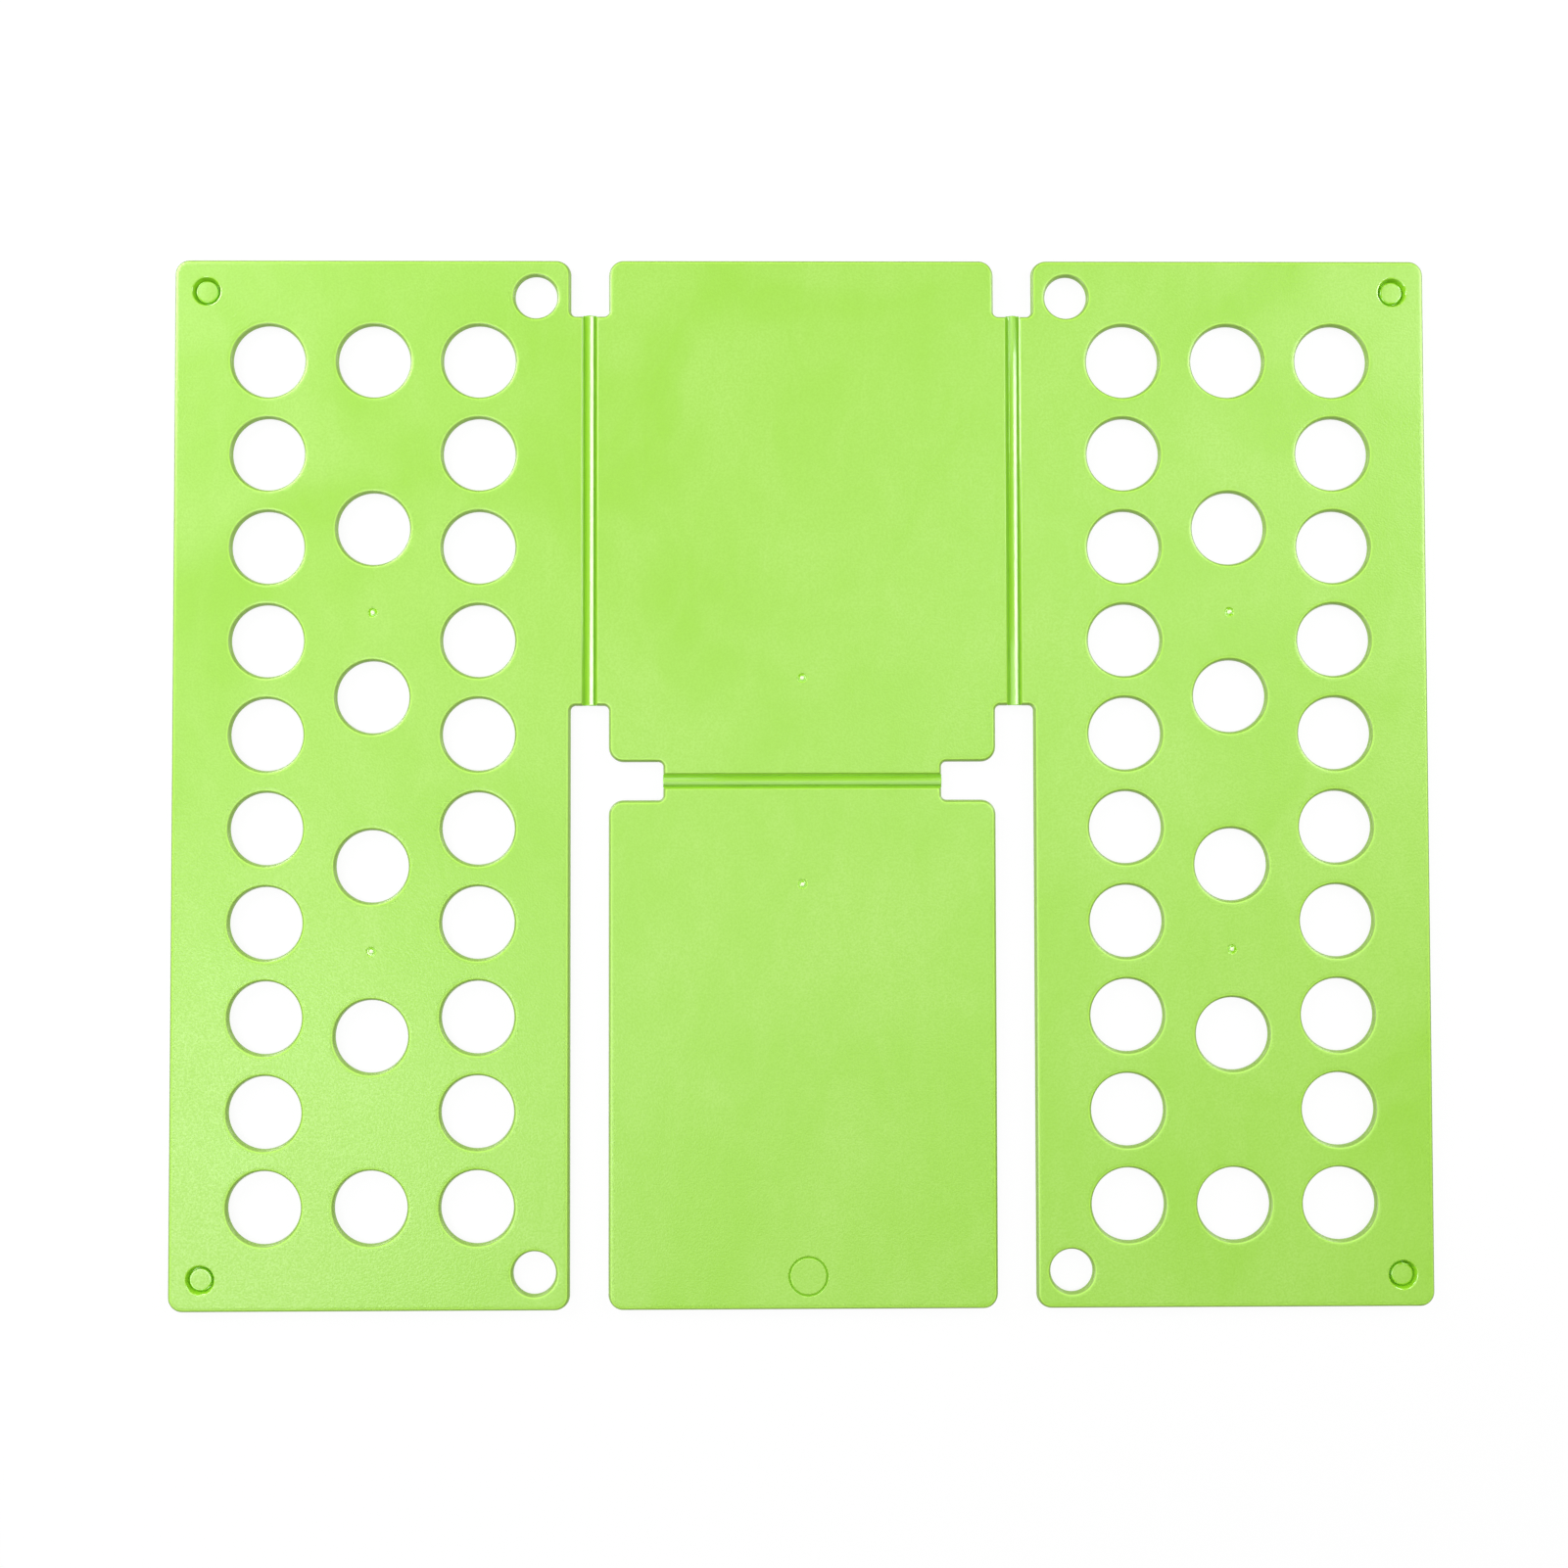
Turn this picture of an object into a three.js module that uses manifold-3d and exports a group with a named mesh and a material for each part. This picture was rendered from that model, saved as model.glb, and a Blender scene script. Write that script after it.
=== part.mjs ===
// Shirt folding board: four flat panels moulded in one shot of polypropylene and joined by
// three double living hinges. Each hinge is two thin film webs with a stiff spine between
// them. Every stretch that moves by itself is a mesh of its own.
// Millimetres. +X to the right, +Y to the collar end of the board, +Z up out of the bed.
// The origin lies under the middle of the board, at the level of the feet's soles.
import * as THREE from 'three';
import { mergeVertices } from 'three/addons/utils/BufferGeometryUtils.js';
import Module from 'manifold-3d';

const wasm = await Module();
wasm.setup();

// Board and panels
const boardWidth = 700;
const boardLength = 584;
const plateThickness = 2.6;
const foldWidth = 236.7; // between the middle lines of the two side hinges
const slotWidth = 21.2; // open slot between two panels, beside their hinge
const outerCornerRadius = 8.3;
const notchFilletRadius = 2.8;

// Hinges
const sideNotchLength = 31.4; // from a corner of the centre panel to the end of a side hinge
const lowerNotchLength = 30.3; // from a corner of the centre panel to the end of the lower hinge
const creaseSpacing = 6.2;
const grooveWidth = 3.1; // across the mouth of the groove over a crease
const webWidth = 1.0; // flat bottom of a groove
const webThickness = 0.5;
const spineCrownRadius = 2.0;

// Air holes in the flaps: as many columns and rows as fit between the rims, evenly spaced
const airHoleDiameter = 40;
const innerRim = 31.1; // from a flap's inner edge to the holes beside it
const outerRim = 32.6;
const endRim = 37;
const leastBridge = 11; // least material between two holes
const innerColumnLeastPitch = 80; // the columns between the first and the last are sparser

// Small hole in each inner corner of a flap
const cornerHoleDiameter = 23.3;
const cornerHoleSideInset = 19.5;
const cornerHoleEndInset = 20.7;

// Hollow foot in each outer corner of a flap
const footInset = 18;
const footHeight = 2.4; // below the plate
const footFloor = 1.6;
const footWall = 1.8; // outside the mouth of its cup
const footChamfer = 0.6;
const cupMouthDiameter = 15.4;
const cupDraft = 1; // by which the cup's radius shrinks from its mouth to its floor
const cupFilletRadius = 0.9;

// Round witness mark near the foot end of the lower panel
const ringDiameter = 20.8; // to the middle of the groove
const ringGrooveWidth = 1.3;
const ringGrooveDepth = 0.35;
const ringEndInset = 18.6;
const ringSideOffset = 2.7;

// Gate marks, where the plastic was injected
const gateDishDiameter = 4.8;
const gateDishDepth = 0.5;
const gateNubDiameter = 1.9;
const gateNubDrop = 0.1; // from the plate's surface down to the nub
const panelGateDistance = 57.4; // from the lower hinge
const flapGateRows = 1.5; // in from the end hole of a sparse column, in its spacings

// Facets and cutting
const cornerFacets = 6;
const filletFacets = 3;
const crownFacets = 4;
const holeFacets = 24;
const footFacets = 24;
const gateFacets = 12;
const overrun = 1; // by which a cutter passes the surface that it opens

// Levels and places that follow from the sizes above
const plateBottom = footHeight;
const plateTop = plateBottom + plateThickness;
const plateMiddle = plateBottom + plateThickness / 2;
const halfWidth = boardWidth / 2;
const halfLength = boardLength / 2;
const sideHingeX = foldWidth / 2;
const panelHalfWidth = sideHingeX - slotWidth / 2;
const flapInnerEdge = sideHingeX + slotWidth / 2;
const panelInnerEnd = slotWidth / 2;
const sideHingeLow = panelInnerEnd + sideNotchLength;
const sideHingeHigh = halfLength - sideNotchLength;
const lowerHingeHalf = panelHalfWidth - lowerNotchLength;
const noseReach = creaseSpacing / 2 + webWidth / 2; // from a hinge's middle line to a panel
const endRow = halfLength - endRim - airHoleDiameter / 2;
const firstColumn = flapInnerEdge + innerRim + airHoleDiameter / 2;
const lastColumn = halfWidth - outerRim - airHoleDiameter / 2;

const cornerArc = { radius: outerCornerRadius, facets: cornerFacets };
const notchArc = { radius: notchFilletRadius, facets: filletFacets };
const crownArc = { radius: spineCrownRadius, facets: crownFacets };

const panelPlastic = new THREE.MeshStandardMaterial({
  color: new THREE.Color('#b2e870'),
  roughness: 0.5,
  metalness: 0,
});
const hingePlastic = new THREE.MeshStandardMaterial({
  color: new THREE.Color('#9fdc4a'),
  roughness: 0.3,
  metalness: 0,
});

function toSolid(geometry) {
  const bare = geometry.clone();
  bare.deleteAttribute('normal');
  bare.deleteAttribute('uv');
  const merged = mergeVertices(bare);
  return new wasm.Manifold(new wasm.Mesh({
    numProp: 3,
    vertProperties: new Float32Array(merged.attributes.position.array),
    triVerts: new Uint32Array(merged.index.array),
  }));
}

function toGeometry(solid) {
  const mesh = solid.getMesh();
  const geometry = new THREE.BufferGeometry();
  geometry.setAttribute('position', new THREE.BufferAttribute(mesh.vertProperties, 3));
  geometry.setIndex(new THREE.BufferAttribute(mesh.triVerts, 1));
  geometry.computeVertexNormals();
  return geometry;
}

function cutFrom(solid, cutters) {
  return cutters.reduce((rest, cutter) => rest.subtract(cutter), solid);
}

function joinTo(solid, additions) {
  return additions.reduce((whole, addition) => whole.add(addition), solid);
}

// One corner of an outline, rounded by an arc that touches both of its edges.
function roundedCorner(before, corner, after) {
  const at = new THREE.Vector2(corner.x, corner.y);
  if (!corner.radius) return [at];
  const back = new THREE.Vector2(before.x, before.y).sub(at).normalize();
  const ahead = new THREE.Vector2(after.x, after.y).sub(at).normalize();
  const halfAngle = Math.acos(back.dot(ahead)) / 2;
  const middle = back.clone().add(ahead).normalize()
    .multiplyScalar(corner.radius / Math.sin(halfAngle)).add(at);
  const reach = corner.radius / Math.tan(halfAngle);
  const first = back.clone().multiplyScalar(reach).add(at).sub(middle);
  const last = ahead.clone().multiplyScalar(reach).add(at).sub(middle);
  const turn = Math.atan2(first.cross(last), first.dot(last));
  return Array.from({ length: corner.facets + 1 }, (_, step) => first.clone()
    .rotateAround(new THREE.Vector2(), (turn * step) / corner.facets).add(middle));
}

function roundedOutline(corners) {
  return corners.flatMap((corner, index) => roundedCorner(
    corners.at(index - 1),
    corner,
    corners[(index + 1) % corners.length],
  ));
}

function circle(centre, diameter, facets) {
  return Array.from({ length: facets }, (_, step) => {
    const angle = (2 * Math.PI * step) / facets;
    return new THREE.Vector2(
      centre.x + (diameter / 2) * Math.cos(angle),
      centre.y + (diameter / 2) * Math.sin(angle),
    );
  });
}

// A panel's full plate, from its outline and its round through holes.
function plate(outline, holes) {
  const shape = new THREE.Shape(outline);
  shape.holes = holes.map((hole) => new THREE.Path(circle(hole, hole.diameter, holeFacets)));
  const geometry = new THREE.ExtrudeGeometry(shape, {
    depth: plateThickness,
    bevelEnabled: false,
  });
  geometry.translate(0, 0, plateBottom);
  return toSolid(geometry);
}

// A turned solid standing on the XY plane at a place, from its radii and heights.
function turned(profile, place, facets) {
  const geometry = new THREE.LatheGeometry(
    profile.map(([radius, height]) => new THREE.Vector2(radius, height)),
    facets,
  );
  geometry.rotateX(Math.PI / 2);
  geometry.translate(place.x, place.y, 0);
  return toSolid(geometry);
}

// A hinge's own frame: across points from the centre panel to the panel that folds.
function hingeFrame(name, middle, across, length) {
  const up = new THREE.Vector3(0, 0, 1);
  const along = across.clone().cross(up);
  const matrix = new THREE.Matrix4().makeBasis(across, up, along);
  matrix.setPosition(middle.x, middle.y, plateMiddle);
  return { name, matrix, length };
}

const sideHingeMiddle = (sideHingeLow + sideHingeHigh) / 2;
const sideHingeLength = sideHingeHigh - sideHingeLow;
const leftHinge = hingeFrame(
  'left_hinge',
  new THREE.Vector2(-sideHingeX, sideHingeMiddle),
  new THREE.Vector3(-1, 0, 0),
  sideHingeLength,
);
const rightHinge = hingeFrame(
  'right_hinge',
  new THREE.Vector2(sideHingeX, sideHingeMiddle),
  new THREE.Vector3(1, 0, 0),
  sideHingeLength,
);
const lowerHinge = hingeFrame(
  'lower_hinge',
  new THREE.Vector2(0, 0),
  new THREE.Vector3(0, -1, 0),
  2 * lowerHingeHalf,
);

// A straight bar along a hinge, from its section (across the hinge, up from its film).
function hingeBar(hinge, section, length) {
  const geometry = new THREE.ExtrudeGeometry(new THREE.Shape(section), {
    depth: length,
    bevelEnabled: false,
  });
  geometry.translate(0, 0, -length / 2);
  geometry.applyMatrix4(hinge.matrix);
  return geometry;
}

// The sloping side that a groove leaves on a panel's nose, cut away above and below the film.
// side is 1 on the panel that folds and -1 on the centre panel.
function noseCutters(hinge, side) {
  const rise = (plateThickness - webThickness) / 2;
  const run = (grooveWidth - webWidth) / 2;
  const overrise = (overrun * rise) / run;
  const low = [noseReach - overrun, webThickness / 2 - overrise];
  const high = [noseReach + run + overrun, plateThickness / 2 + overrise];
  const corner = [noseReach - overrun, plateThickness / 2 + overrise];
  const length = hinge.length + 2 * overrun;
  return [1, -1].map((face) => toSolid(hingeBar(
    hinge,
    [low, high, corner].map(([across, up]) => new THREE.Vector2(side * across, face * up)),
    length,
  )));
}

function spineSection() {
  const root = creaseSpacing / 2 - webWidth / 2;
  const shoulder = creaseSpacing / 2 - grooveWidth / 2;
  const corners = [
    { x: root, y: webThickness / 2 },
    { x: shoulder, y: plateThickness / 2, ...crownArc },
    { x: -shoulder, y: plateThickness / 2, ...crownArc },
    { x: -root, y: webThickness / 2 },
    { x: -root, y: -webThickness / 2 },
    { x: -shoulder, y: -plateThickness / 2, ...crownArc },
    { x: shoulder, y: -plateThickness / 2, ...crownArc },
    { x: root, y: -webThickness / 2 },
  ];
  return roundedOutline(corners);
}

function webSection(side) {
  const middle = (side * creaseSpacing) / 2;
  return [[-1, -1], [1, -1], [1, 1], [-1, 1]].map(([across, up]) => new THREE.Vector2(
    middle + (across * webWidth) / 2,
    (up * webThickness) / 2,
  ));
}

// Corners on the right half of a shape, followed by the same corners mirrored to the left.
function withMirror(corners) {
  const mirrored = corners.map((corner) => ({ ...corner, x: -corner.x })).reverse();
  return [...corners, ...mirrored];
}

function centrePanel() {
  const nose = sideHingeX - noseReach;
  const outline = roundedOutline(withMirror([
    { x: lowerHingeHalf, y: noseReach },
    { x: lowerHingeHalf, y: panelInnerEnd, ...notchArc },
    { x: panelHalfWidth, y: panelInnerEnd, ...cornerArc },
    { x: panelHalfWidth, y: sideHingeLow, ...notchArc },
    { x: nose, y: sideHingeLow },
    { x: nose, y: sideHingeHigh },
    { x: panelHalfWidth, y: sideHingeHigh, ...notchArc },
    { x: panelHalfWidth, y: halfLength, ...cornerArc },
  ]));
  const noses = [leftHinge, rightHinge, lowerHinge].flatMap((hinge) => noseCutters(hinge, -1));
  const gate = { x: 0, y: panelGateDistance };
  return withGates(cutFrom(plate(outline, []), noses), [gate]);
}

function lowerPanel() {
  const outline = roundedOutline(withMirror([
    { x: panelHalfWidth, y: -halfLength, ...cornerArc },
    { x: panelHalfWidth, y: -panelInnerEnd, ...cornerArc },
    { x: lowerHingeHalf, y: -panelInnerEnd, ...notchArc },
    { x: lowerHingeHalf, y: -noseReach },
  ]));
  const gate = { x: 0, y: -panelGateDistance };
  const cut = cutFrom(plate(outline, []), [...noseCutters(lowerHinge, 1), ringCutter()]);
  return withGates(cut, [gate]);
}

function ringCutter() {
  const inner = (ringDiameter - ringGrooveWidth) / 2;
  const outer = (ringDiameter + ringGrooveWidth) / 2;
  const place = { x: ringSideOffset, y: ringEndInset - halfLength };
  return turned([
    [inner, plateTop - ringGrooveDepth],
    [outer, plateTop - ringGrooveDepth],
    [outer, plateTop + overrun],
    [inner, plateTop + overrun],
    [inner, plateTop - ringGrooveDepth],
  ], place, holeFacets);
}

// A shallow dish with the broken-off stub of the sprue standing in it.
function withGates(solid, places) {
  const dishes = places.map((place) => turned([
    [0, plateTop - gateDishDepth],
    [gateDishDiameter / 2, plateTop - gateDishDepth],
    [gateDishDiameter / 2, plateTop + overrun],
    [0, plateTop + overrun],
  ], place, gateFacets));
  const nubs = places.map((place) => turned([
    [0, plateMiddle],
    [gateNubDiameter / 2, plateMiddle],
    [gateNubDiameter / 2, plateTop - gateNubDrop],
    [0, plateTop - gateNubDrop],
  ], place, gateFacets));
  return joinTo(cutFrom(solid, dishes), nubs);
}

// Evenly spaced places from first to last, as many as keep at least a given pitch.
function spaced(first, last, leastPitch) {
  const steps = Math.floor((last - first) / leastPitch);
  return Array.from({ length: steps + 1 }, (_, index) => (
    first + ((last - first) * index) / steps
  ));
}

// Round holes of a flap. side is 1 for the right flap and -1 for the left one.
function flapHoles(side) {
  const leastPitch = airHoleDiameter + leastBridge;
  const denseRows = spaced(-endRow, endRow, leastPitch);
  const sparseRows = spaced(-endRow, endRow, innerColumnLeastPitch);
  const columns = spaced(firstColumn, lastColumn, leastPitch);
  const airHoles = columns.flatMap((x, index) => {
    const dense = index === 0 || index === columns.length - 1;
    return (dense ? denseRows : sparseRows).map((y) => ({
      x: side * x,
      y,
      diameter: airHoleDiameter,
    }));
  });
  const cornerHoles = [1, -1].map((end) => ({
    x: side * (flapInnerEdge + cornerHoleSideInset),
    y: end * (halfLength - cornerHoleEndInset),
    diameter: cornerHoleDiameter,
  }));
  return [...airHoles, ...cornerHoles];
}

function footSolid(place) {
  const radius = cupMouthDiameter / 2 + footWall;
  return turned([
    [0, 0],
    [radius - footChamfer, 0],
    [radius, footChamfer],
    [radius, plateMiddle],
    [0, plateMiddle],
  ], place, footFacets);
}

function footCup(place) {
  const mouth = cupMouthDiameter / 2;
  const floorEdge = roundedCorner(
    { x: 0, y: footFloor },
    { x: mouth - cupDraft, y: footFloor, radius: cupFilletRadius, facets: filletFacets },
    { x: mouth, y: plateTop },
  );
  return turned([
    [0, footFloor],
    ...floorEdge.map((point) => [point.x, point.y]),
    [mouth, plateTop],
    [mouth, plateTop + overrun],
    [0, plateTop + overrun],
  ], place, footFacets);
}

function flap(side, hinge) {
  const nose = sideHingeX + noseReach;
  const corners = [
    { x: flapInnerEdge, y: -halfLength, ...cornerArc },
    { x: halfWidth, y: -halfLength, ...cornerArc },
    { x: halfWidth, y: halfLength, ...cornerArc },
    { x: flapInnerEdge, y: halfLength, ...cornerArc },
    { x: flapInnerEdge, y: sideHingeHigh, ...notchArc },
    { x: nose, y: sideHingeHigh },
    { x: nose, y: sideHingeLow },
    { x: flapInnerEdge, y: sideHingeLow, ...notchArc },
  ].map((corner) => ({ ...corner, x: side * corner.x }));
  const blank = plate(roundedOutline(corners), flapHoles(side));
  const feet = [1, -1].map((end) => ({
    x: side * (halfWidth - footInset),
    y: end * (halfLength - footInset),
  }));
  const footed = joinTo(blank, feet.map(footSolid));
  const cut = cutFrom(footed, [...feet.map(footCup), ...noseCutters(hinge, 1)]);
  const [endHole, nextHole] = spaced(endRow, -endRow, -innerColumnLeastPitch);
  const gates = [1, -1].map((end) => ({
    x: (side * (firstColumn + lastColumn)) / 2,
    y: end * (endHole - flapGateRows * (endHole - nextHole)),
  }));
  return withGates(cut, gates);
}

function named(name, geometry, material) {
  const mesh = new THREE.Mesh(geometry, material);
  mesh.name = name;
  return mesh;
}

// The spine of a hinge and the film web on each side of it.
function hingeMeshes(hinge) {
  const webs = [['inner', -1], ['outer', 1]].map(([place, side]) => named(
    `${hinge.name}_${place}_web`,
    hingeBar(hinge, webSection(side), hinge.length),
    hingePlastic,
  ));
  const spine = named(
    `${hinge.name}_spine`,
    hingeBar(hinge, spineSection(), hinge.length),
    hingePlastic,
  );
  return [spine, ...webs];
}

const board = new THREE.Group();
board.add(named('centre_panel', toGeometry(centrePanel()), panelPlastic));
board.add(named('lower_panel', toGeometry(lowerPanel()), panelPlastic));
board.add(named('left_flap', toGeometry(flap(-1, leftHinge)), panelPlastic));
board.add(named('right_flap', toGeometry(flap(1, rightHinge)), panelPlastic));
for (const hinge of [leftHinge, rightHinge, lowerHinge]) {
  board.add(...hingeMeshes(hinge));
}

export default board;
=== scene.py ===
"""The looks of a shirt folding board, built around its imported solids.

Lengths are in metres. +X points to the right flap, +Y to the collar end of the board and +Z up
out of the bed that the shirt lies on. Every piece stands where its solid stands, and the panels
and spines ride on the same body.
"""

import logging
import math
from collections.abc import Iterable, Sequence
from dataclasses import dataclass, replace
from enum import Enum

import bmesh
import bpy
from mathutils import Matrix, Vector
from mathutils.geometry import delaunay_2d_cdt

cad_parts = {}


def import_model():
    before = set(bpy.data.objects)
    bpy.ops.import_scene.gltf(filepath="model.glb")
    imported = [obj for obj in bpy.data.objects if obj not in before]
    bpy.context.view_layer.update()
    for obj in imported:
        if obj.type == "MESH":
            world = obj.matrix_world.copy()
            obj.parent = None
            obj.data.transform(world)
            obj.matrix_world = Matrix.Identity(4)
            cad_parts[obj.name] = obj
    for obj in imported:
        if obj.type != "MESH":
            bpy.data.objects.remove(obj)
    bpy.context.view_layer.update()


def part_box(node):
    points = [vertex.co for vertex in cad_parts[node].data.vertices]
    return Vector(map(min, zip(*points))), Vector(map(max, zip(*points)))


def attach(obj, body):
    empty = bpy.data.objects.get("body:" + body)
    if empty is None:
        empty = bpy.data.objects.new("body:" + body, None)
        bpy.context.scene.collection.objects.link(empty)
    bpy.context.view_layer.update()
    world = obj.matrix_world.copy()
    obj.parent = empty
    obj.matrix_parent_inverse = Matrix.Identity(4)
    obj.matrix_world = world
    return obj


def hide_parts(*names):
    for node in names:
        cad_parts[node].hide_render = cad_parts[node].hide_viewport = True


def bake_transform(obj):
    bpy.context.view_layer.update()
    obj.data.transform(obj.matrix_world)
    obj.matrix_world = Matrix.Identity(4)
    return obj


log = logging.getLogger("folding_board")

MM = 0.001
RIGHT_ANGLE = math.pi / 2
FULL_TURN = 2 * math.pi

Colour = tuple[float, float, float, float]
Socket = bpy.types.NodeSocket

WHITE: Colour = (1.0, 1.0, 1.0, 1.0)


class Edge(Enum):
    """How a panel ends along one edge of its outline."""

    RIM = "open rim, rounded over"
    NOSE = "sloping side of a hinge groove"


class Face(Enum):
    """The two broad faces of a plate."""

    BED = "the face that the shirt lies on"
    UNDERSIDE = "the face on the table"


class Skin(Enum):
    """Material slots of a panel, by their index."""

    GRAINED = 0
    POLISHED = 1
    # Dark web plastic, which paints shade in the grooves and in the ring mark's line.
    DEEP = 2
    # Pale finish of the gate stubs: a painted glint.
    PAINTED_GLINT = 3


TurnedRow = tuple[float, float, Skin]

# Reach of the flat ring beside a rounding, which keeps its face's shading flat, in radii of the
# rounding.
HOLD_SHARE = 1.4


@dataclass(frozen=True)
class PlateLevels:
    """Heights of the plate's faces and of the hinge film inside its thickness.

    Args:
        bottom: underside of the plate, which the feet hold above the table
        top: the bed
        film_bottom: underside of the hinge films
        film_top: upper side of the hinge films
    """

    bottom: float
    top: float
    film_bottom: float
    film_top: float

    @classmethod
    def from_frame(cls) -> "PlateLevels":
        """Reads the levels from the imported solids.

        Returns:
            The levels of this board.
        """
        panel_low, panel_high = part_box("lower_panel")
        film_low, film_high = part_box("lower_hinge_inner_web")
        return cls(panel_low.z, panel_high.z, film_low.z, film_high.z)


@dataclass(frozen=True)
class EdgeForm:
    """The section of a panel's edges, as an inset from the outline at every height.

    Args:
        levels: heights of the plate
        rim_width: how far the rim's rounding reaches in over the bed
        draft: how much the upright part of a rim leans in, from the underside up
        under_radius: small rounding where a rim meets the underside
        lip_radius: rounding where the bed dips into a hinge groove
        hold: flat strip inside each rounding, which keeps the bed's shading flat
        rim_steps: steps of the rim's rounding
        under_steps: steps of the rounding below
        lip_bands: rows of faces from the bed down that keep the bed's finish
    """

    levels: PlateLevels
    rim_width: float = 3.2 * MM
    draft: float = 0.4 * MM
    under_radius: float = 0.3 * MM
    lip_radius: float = 1.0 * MM
    hold: float = 0.3 * MM
    rim_steps: int = 6
    under_steps: int = 3
    lip_bands: int = 5

    @property
    def rim_depth(self) -> float:
        """How far down the rim's rounding reaches, which is to the level of the film."""
        return self.levels.top - self.levels.film_top

    def heights(self) -> list[float]:
        """Lists the heights that every edge has a row of points at.

        Returns:
            The heights from the bed down. The first and the last are there twice, once for the
            rounding and once for the flat strip inside it.
        """
        top, bottom = self.levels.top, self.levels.bottom
        upper = [top - self.rim_depth * gone for gone, _ in quarter_turn(self.rim_steps)]
        under = [bottom + self.under_radius * left for _, left in quarter_turn(self.under_steps)]
        return [top, *upper, self.levels.film_bottom, *under, bottom]

    def rim_inset(self, height: float) -> float:
        """Gives the rim's inset from the outline.

        Args:
            height: height of the point

        Returns:
            The inset.
        """
        if height >= self.levels.film_top:
            share = (height - self.levels.film_top) / self.rim_depth
            rounding = self.rim_width - self.draft
            return self.draft + rounding * (1 - math.sqrt(max(0.0, 1 - share * share)))
        foot = self.levels.bottom + self.under_radius
        if height >= foot:
            return self.draft * (height - foot) / (self.levels.film_top - foot)
        share = (foot - height) / self.under_radius
        return self.under_radius * (1 - math.sqrt(max(0.0, 1 - share * share)))

    def nose_inset(self, height: float) -> float:
        """Gives the inset of the groove's sloping side, at 45 degrees and with a rounded lip.

        Args:
            height: height of the point

        Returns:
            The inset, nothing along the end of the film.
        """
        if height <= self.levels.film_bottom:
            return self.levels.film_bottom - height
        if height <= self.levels.film_top:
            return 0.0
        drop = self.levels.top - height
        lip_drop = self.lip_radius * (1 - math.cos(RIGHT_ANGLE / 2))
        if drop >= lip_drop:
            return height - self.levels.film_top
        lip_reach = self.lip_radius * math.sin(RIGHT_ANGLE / 2)
        along = math.sqrt(max(0.0, 2 * self.lip_radius * drop - drop * drop))
        return self.rim_depth - lip_drop + lip_reach - along

    def insets(self, edge: Edge) -> list[float]:
        """Lists an edge's insets.

        Args:
            edge: kind of edge

        Returns:
            One inset for each of the heights.
        """
        inset_at = self.rim_inset if edge is Edge.RIM else self.nose_inset
        rows = [inset_at(height) for height in self.heights()]
        rows[0] += self.hold
        rows[-1] += self.hold
        return rows


@dataclass(frozen=True)
class Corner:
    """A corner of an outline.

    Args:
        x: place across the board
        y: place along the board
        radius: radius of its rounding, or nothing for a sharp one
        edge: kind of the edge that leaves it, going round against the clock
    """

    x: float
    y: float
    radius: float = 0.0
    edge: Edge = Edge.RIM


@dataclass(frozen=True)
class OutlinePoint:
    """A point of a finished outline, with the kind of the edge that leaves it."""

    place: Vector
    edge: Edge


def quarter_turn(steps: int) -> list[tuple[float, float]]:
    """Gives a rounding's way from its start and what is left to its end, as shares of its radius.

    Args:
        steps: steps of the rounding

    Returns:
        Both shares at each step. The way starts slowly, and what is left ends slowly.
    """
    turns = [RIGHT_ANGLE * step / steps for step in range(steps + 1)]
    return [(1 - math.cos(turn), 1 - math.sin(turn)) for turn in turns]


def mirrored(corners: Sequence[Corner]) -> list[Corner]:
    """Mirrors an outline to the other side of the board.

    Args:
        corners: corners against the clock

    Returns:
        The mirrored corners, against the clock again.
    """
    return [
        replace(corner, x=-corner.x, edge=corners[index - 1].edge)
        for index, corner in reversed(list(enumerate(corners)))
    ]


def rounded_corner(before: Vector, at: Vector, after: Vector, radius: float, steps: int) -> list[Vector]:
    """Rounds one corner by an arc that touches both of its edges.

    Args:
        before: the corner before
        at: the corner
        after: the corner after
        radius: radius of the arc
        steps: steps along the arc

    Returns:
        The points along the arc.
    """
    back = (before - at).normalized()
    ahead = (after - at).normalized()
    half_angle = back.angle(ahead) / 2
    reach = radius / math.tan(half_angle)
    middle = at + (back + ahead).normalized() * (radius / math.sin(half_angle))
    first = at + back * reach - middle
    last = at + ahead * reach - middle
    turn = math.atan2(first.x * last.y - first.y * last.x, first.dot(last))
    points = []
    for step in range(steps + 1):
        angle = turn * step / steps
        cosine, sine = math.cos(angle), math.sin(angle)
        turned = Vector((first.x * cosine - first.y * sine, first.x * sine + first.y * cosine))
        points.append(middle + turned)
    return points


def rounded_outline(corners: Sequence[Corner], steps: int) -> list[OutlinePoint]:
    """Rounds the corners of an outline.

    Args:
        corners: corners against the clock
        steps: steps along each rounding

    Returns:
        The points of the outline, each with the kind of the edge that leaves it.
    """
    places = [Vector((corner.x, corner.y)) for corner in corners]
    points: list[OutlinePoint] = []
    for index, corner in enumerate(corners):
        if not corner.radius:
            points.append(OutlinePoint(places[index], corner.edge))
            continue
        after = places[(index + 1) % len(corners)]
        arc = rounded_corner(places[index - 1], places[index], after, corner.radius, steps)
        points += [OutlinePoint(place, Edge.RIM) for place in arc[:-1]]
        points.append(OutlinePoint(arc[-1], corner.edge))
    return points


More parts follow.
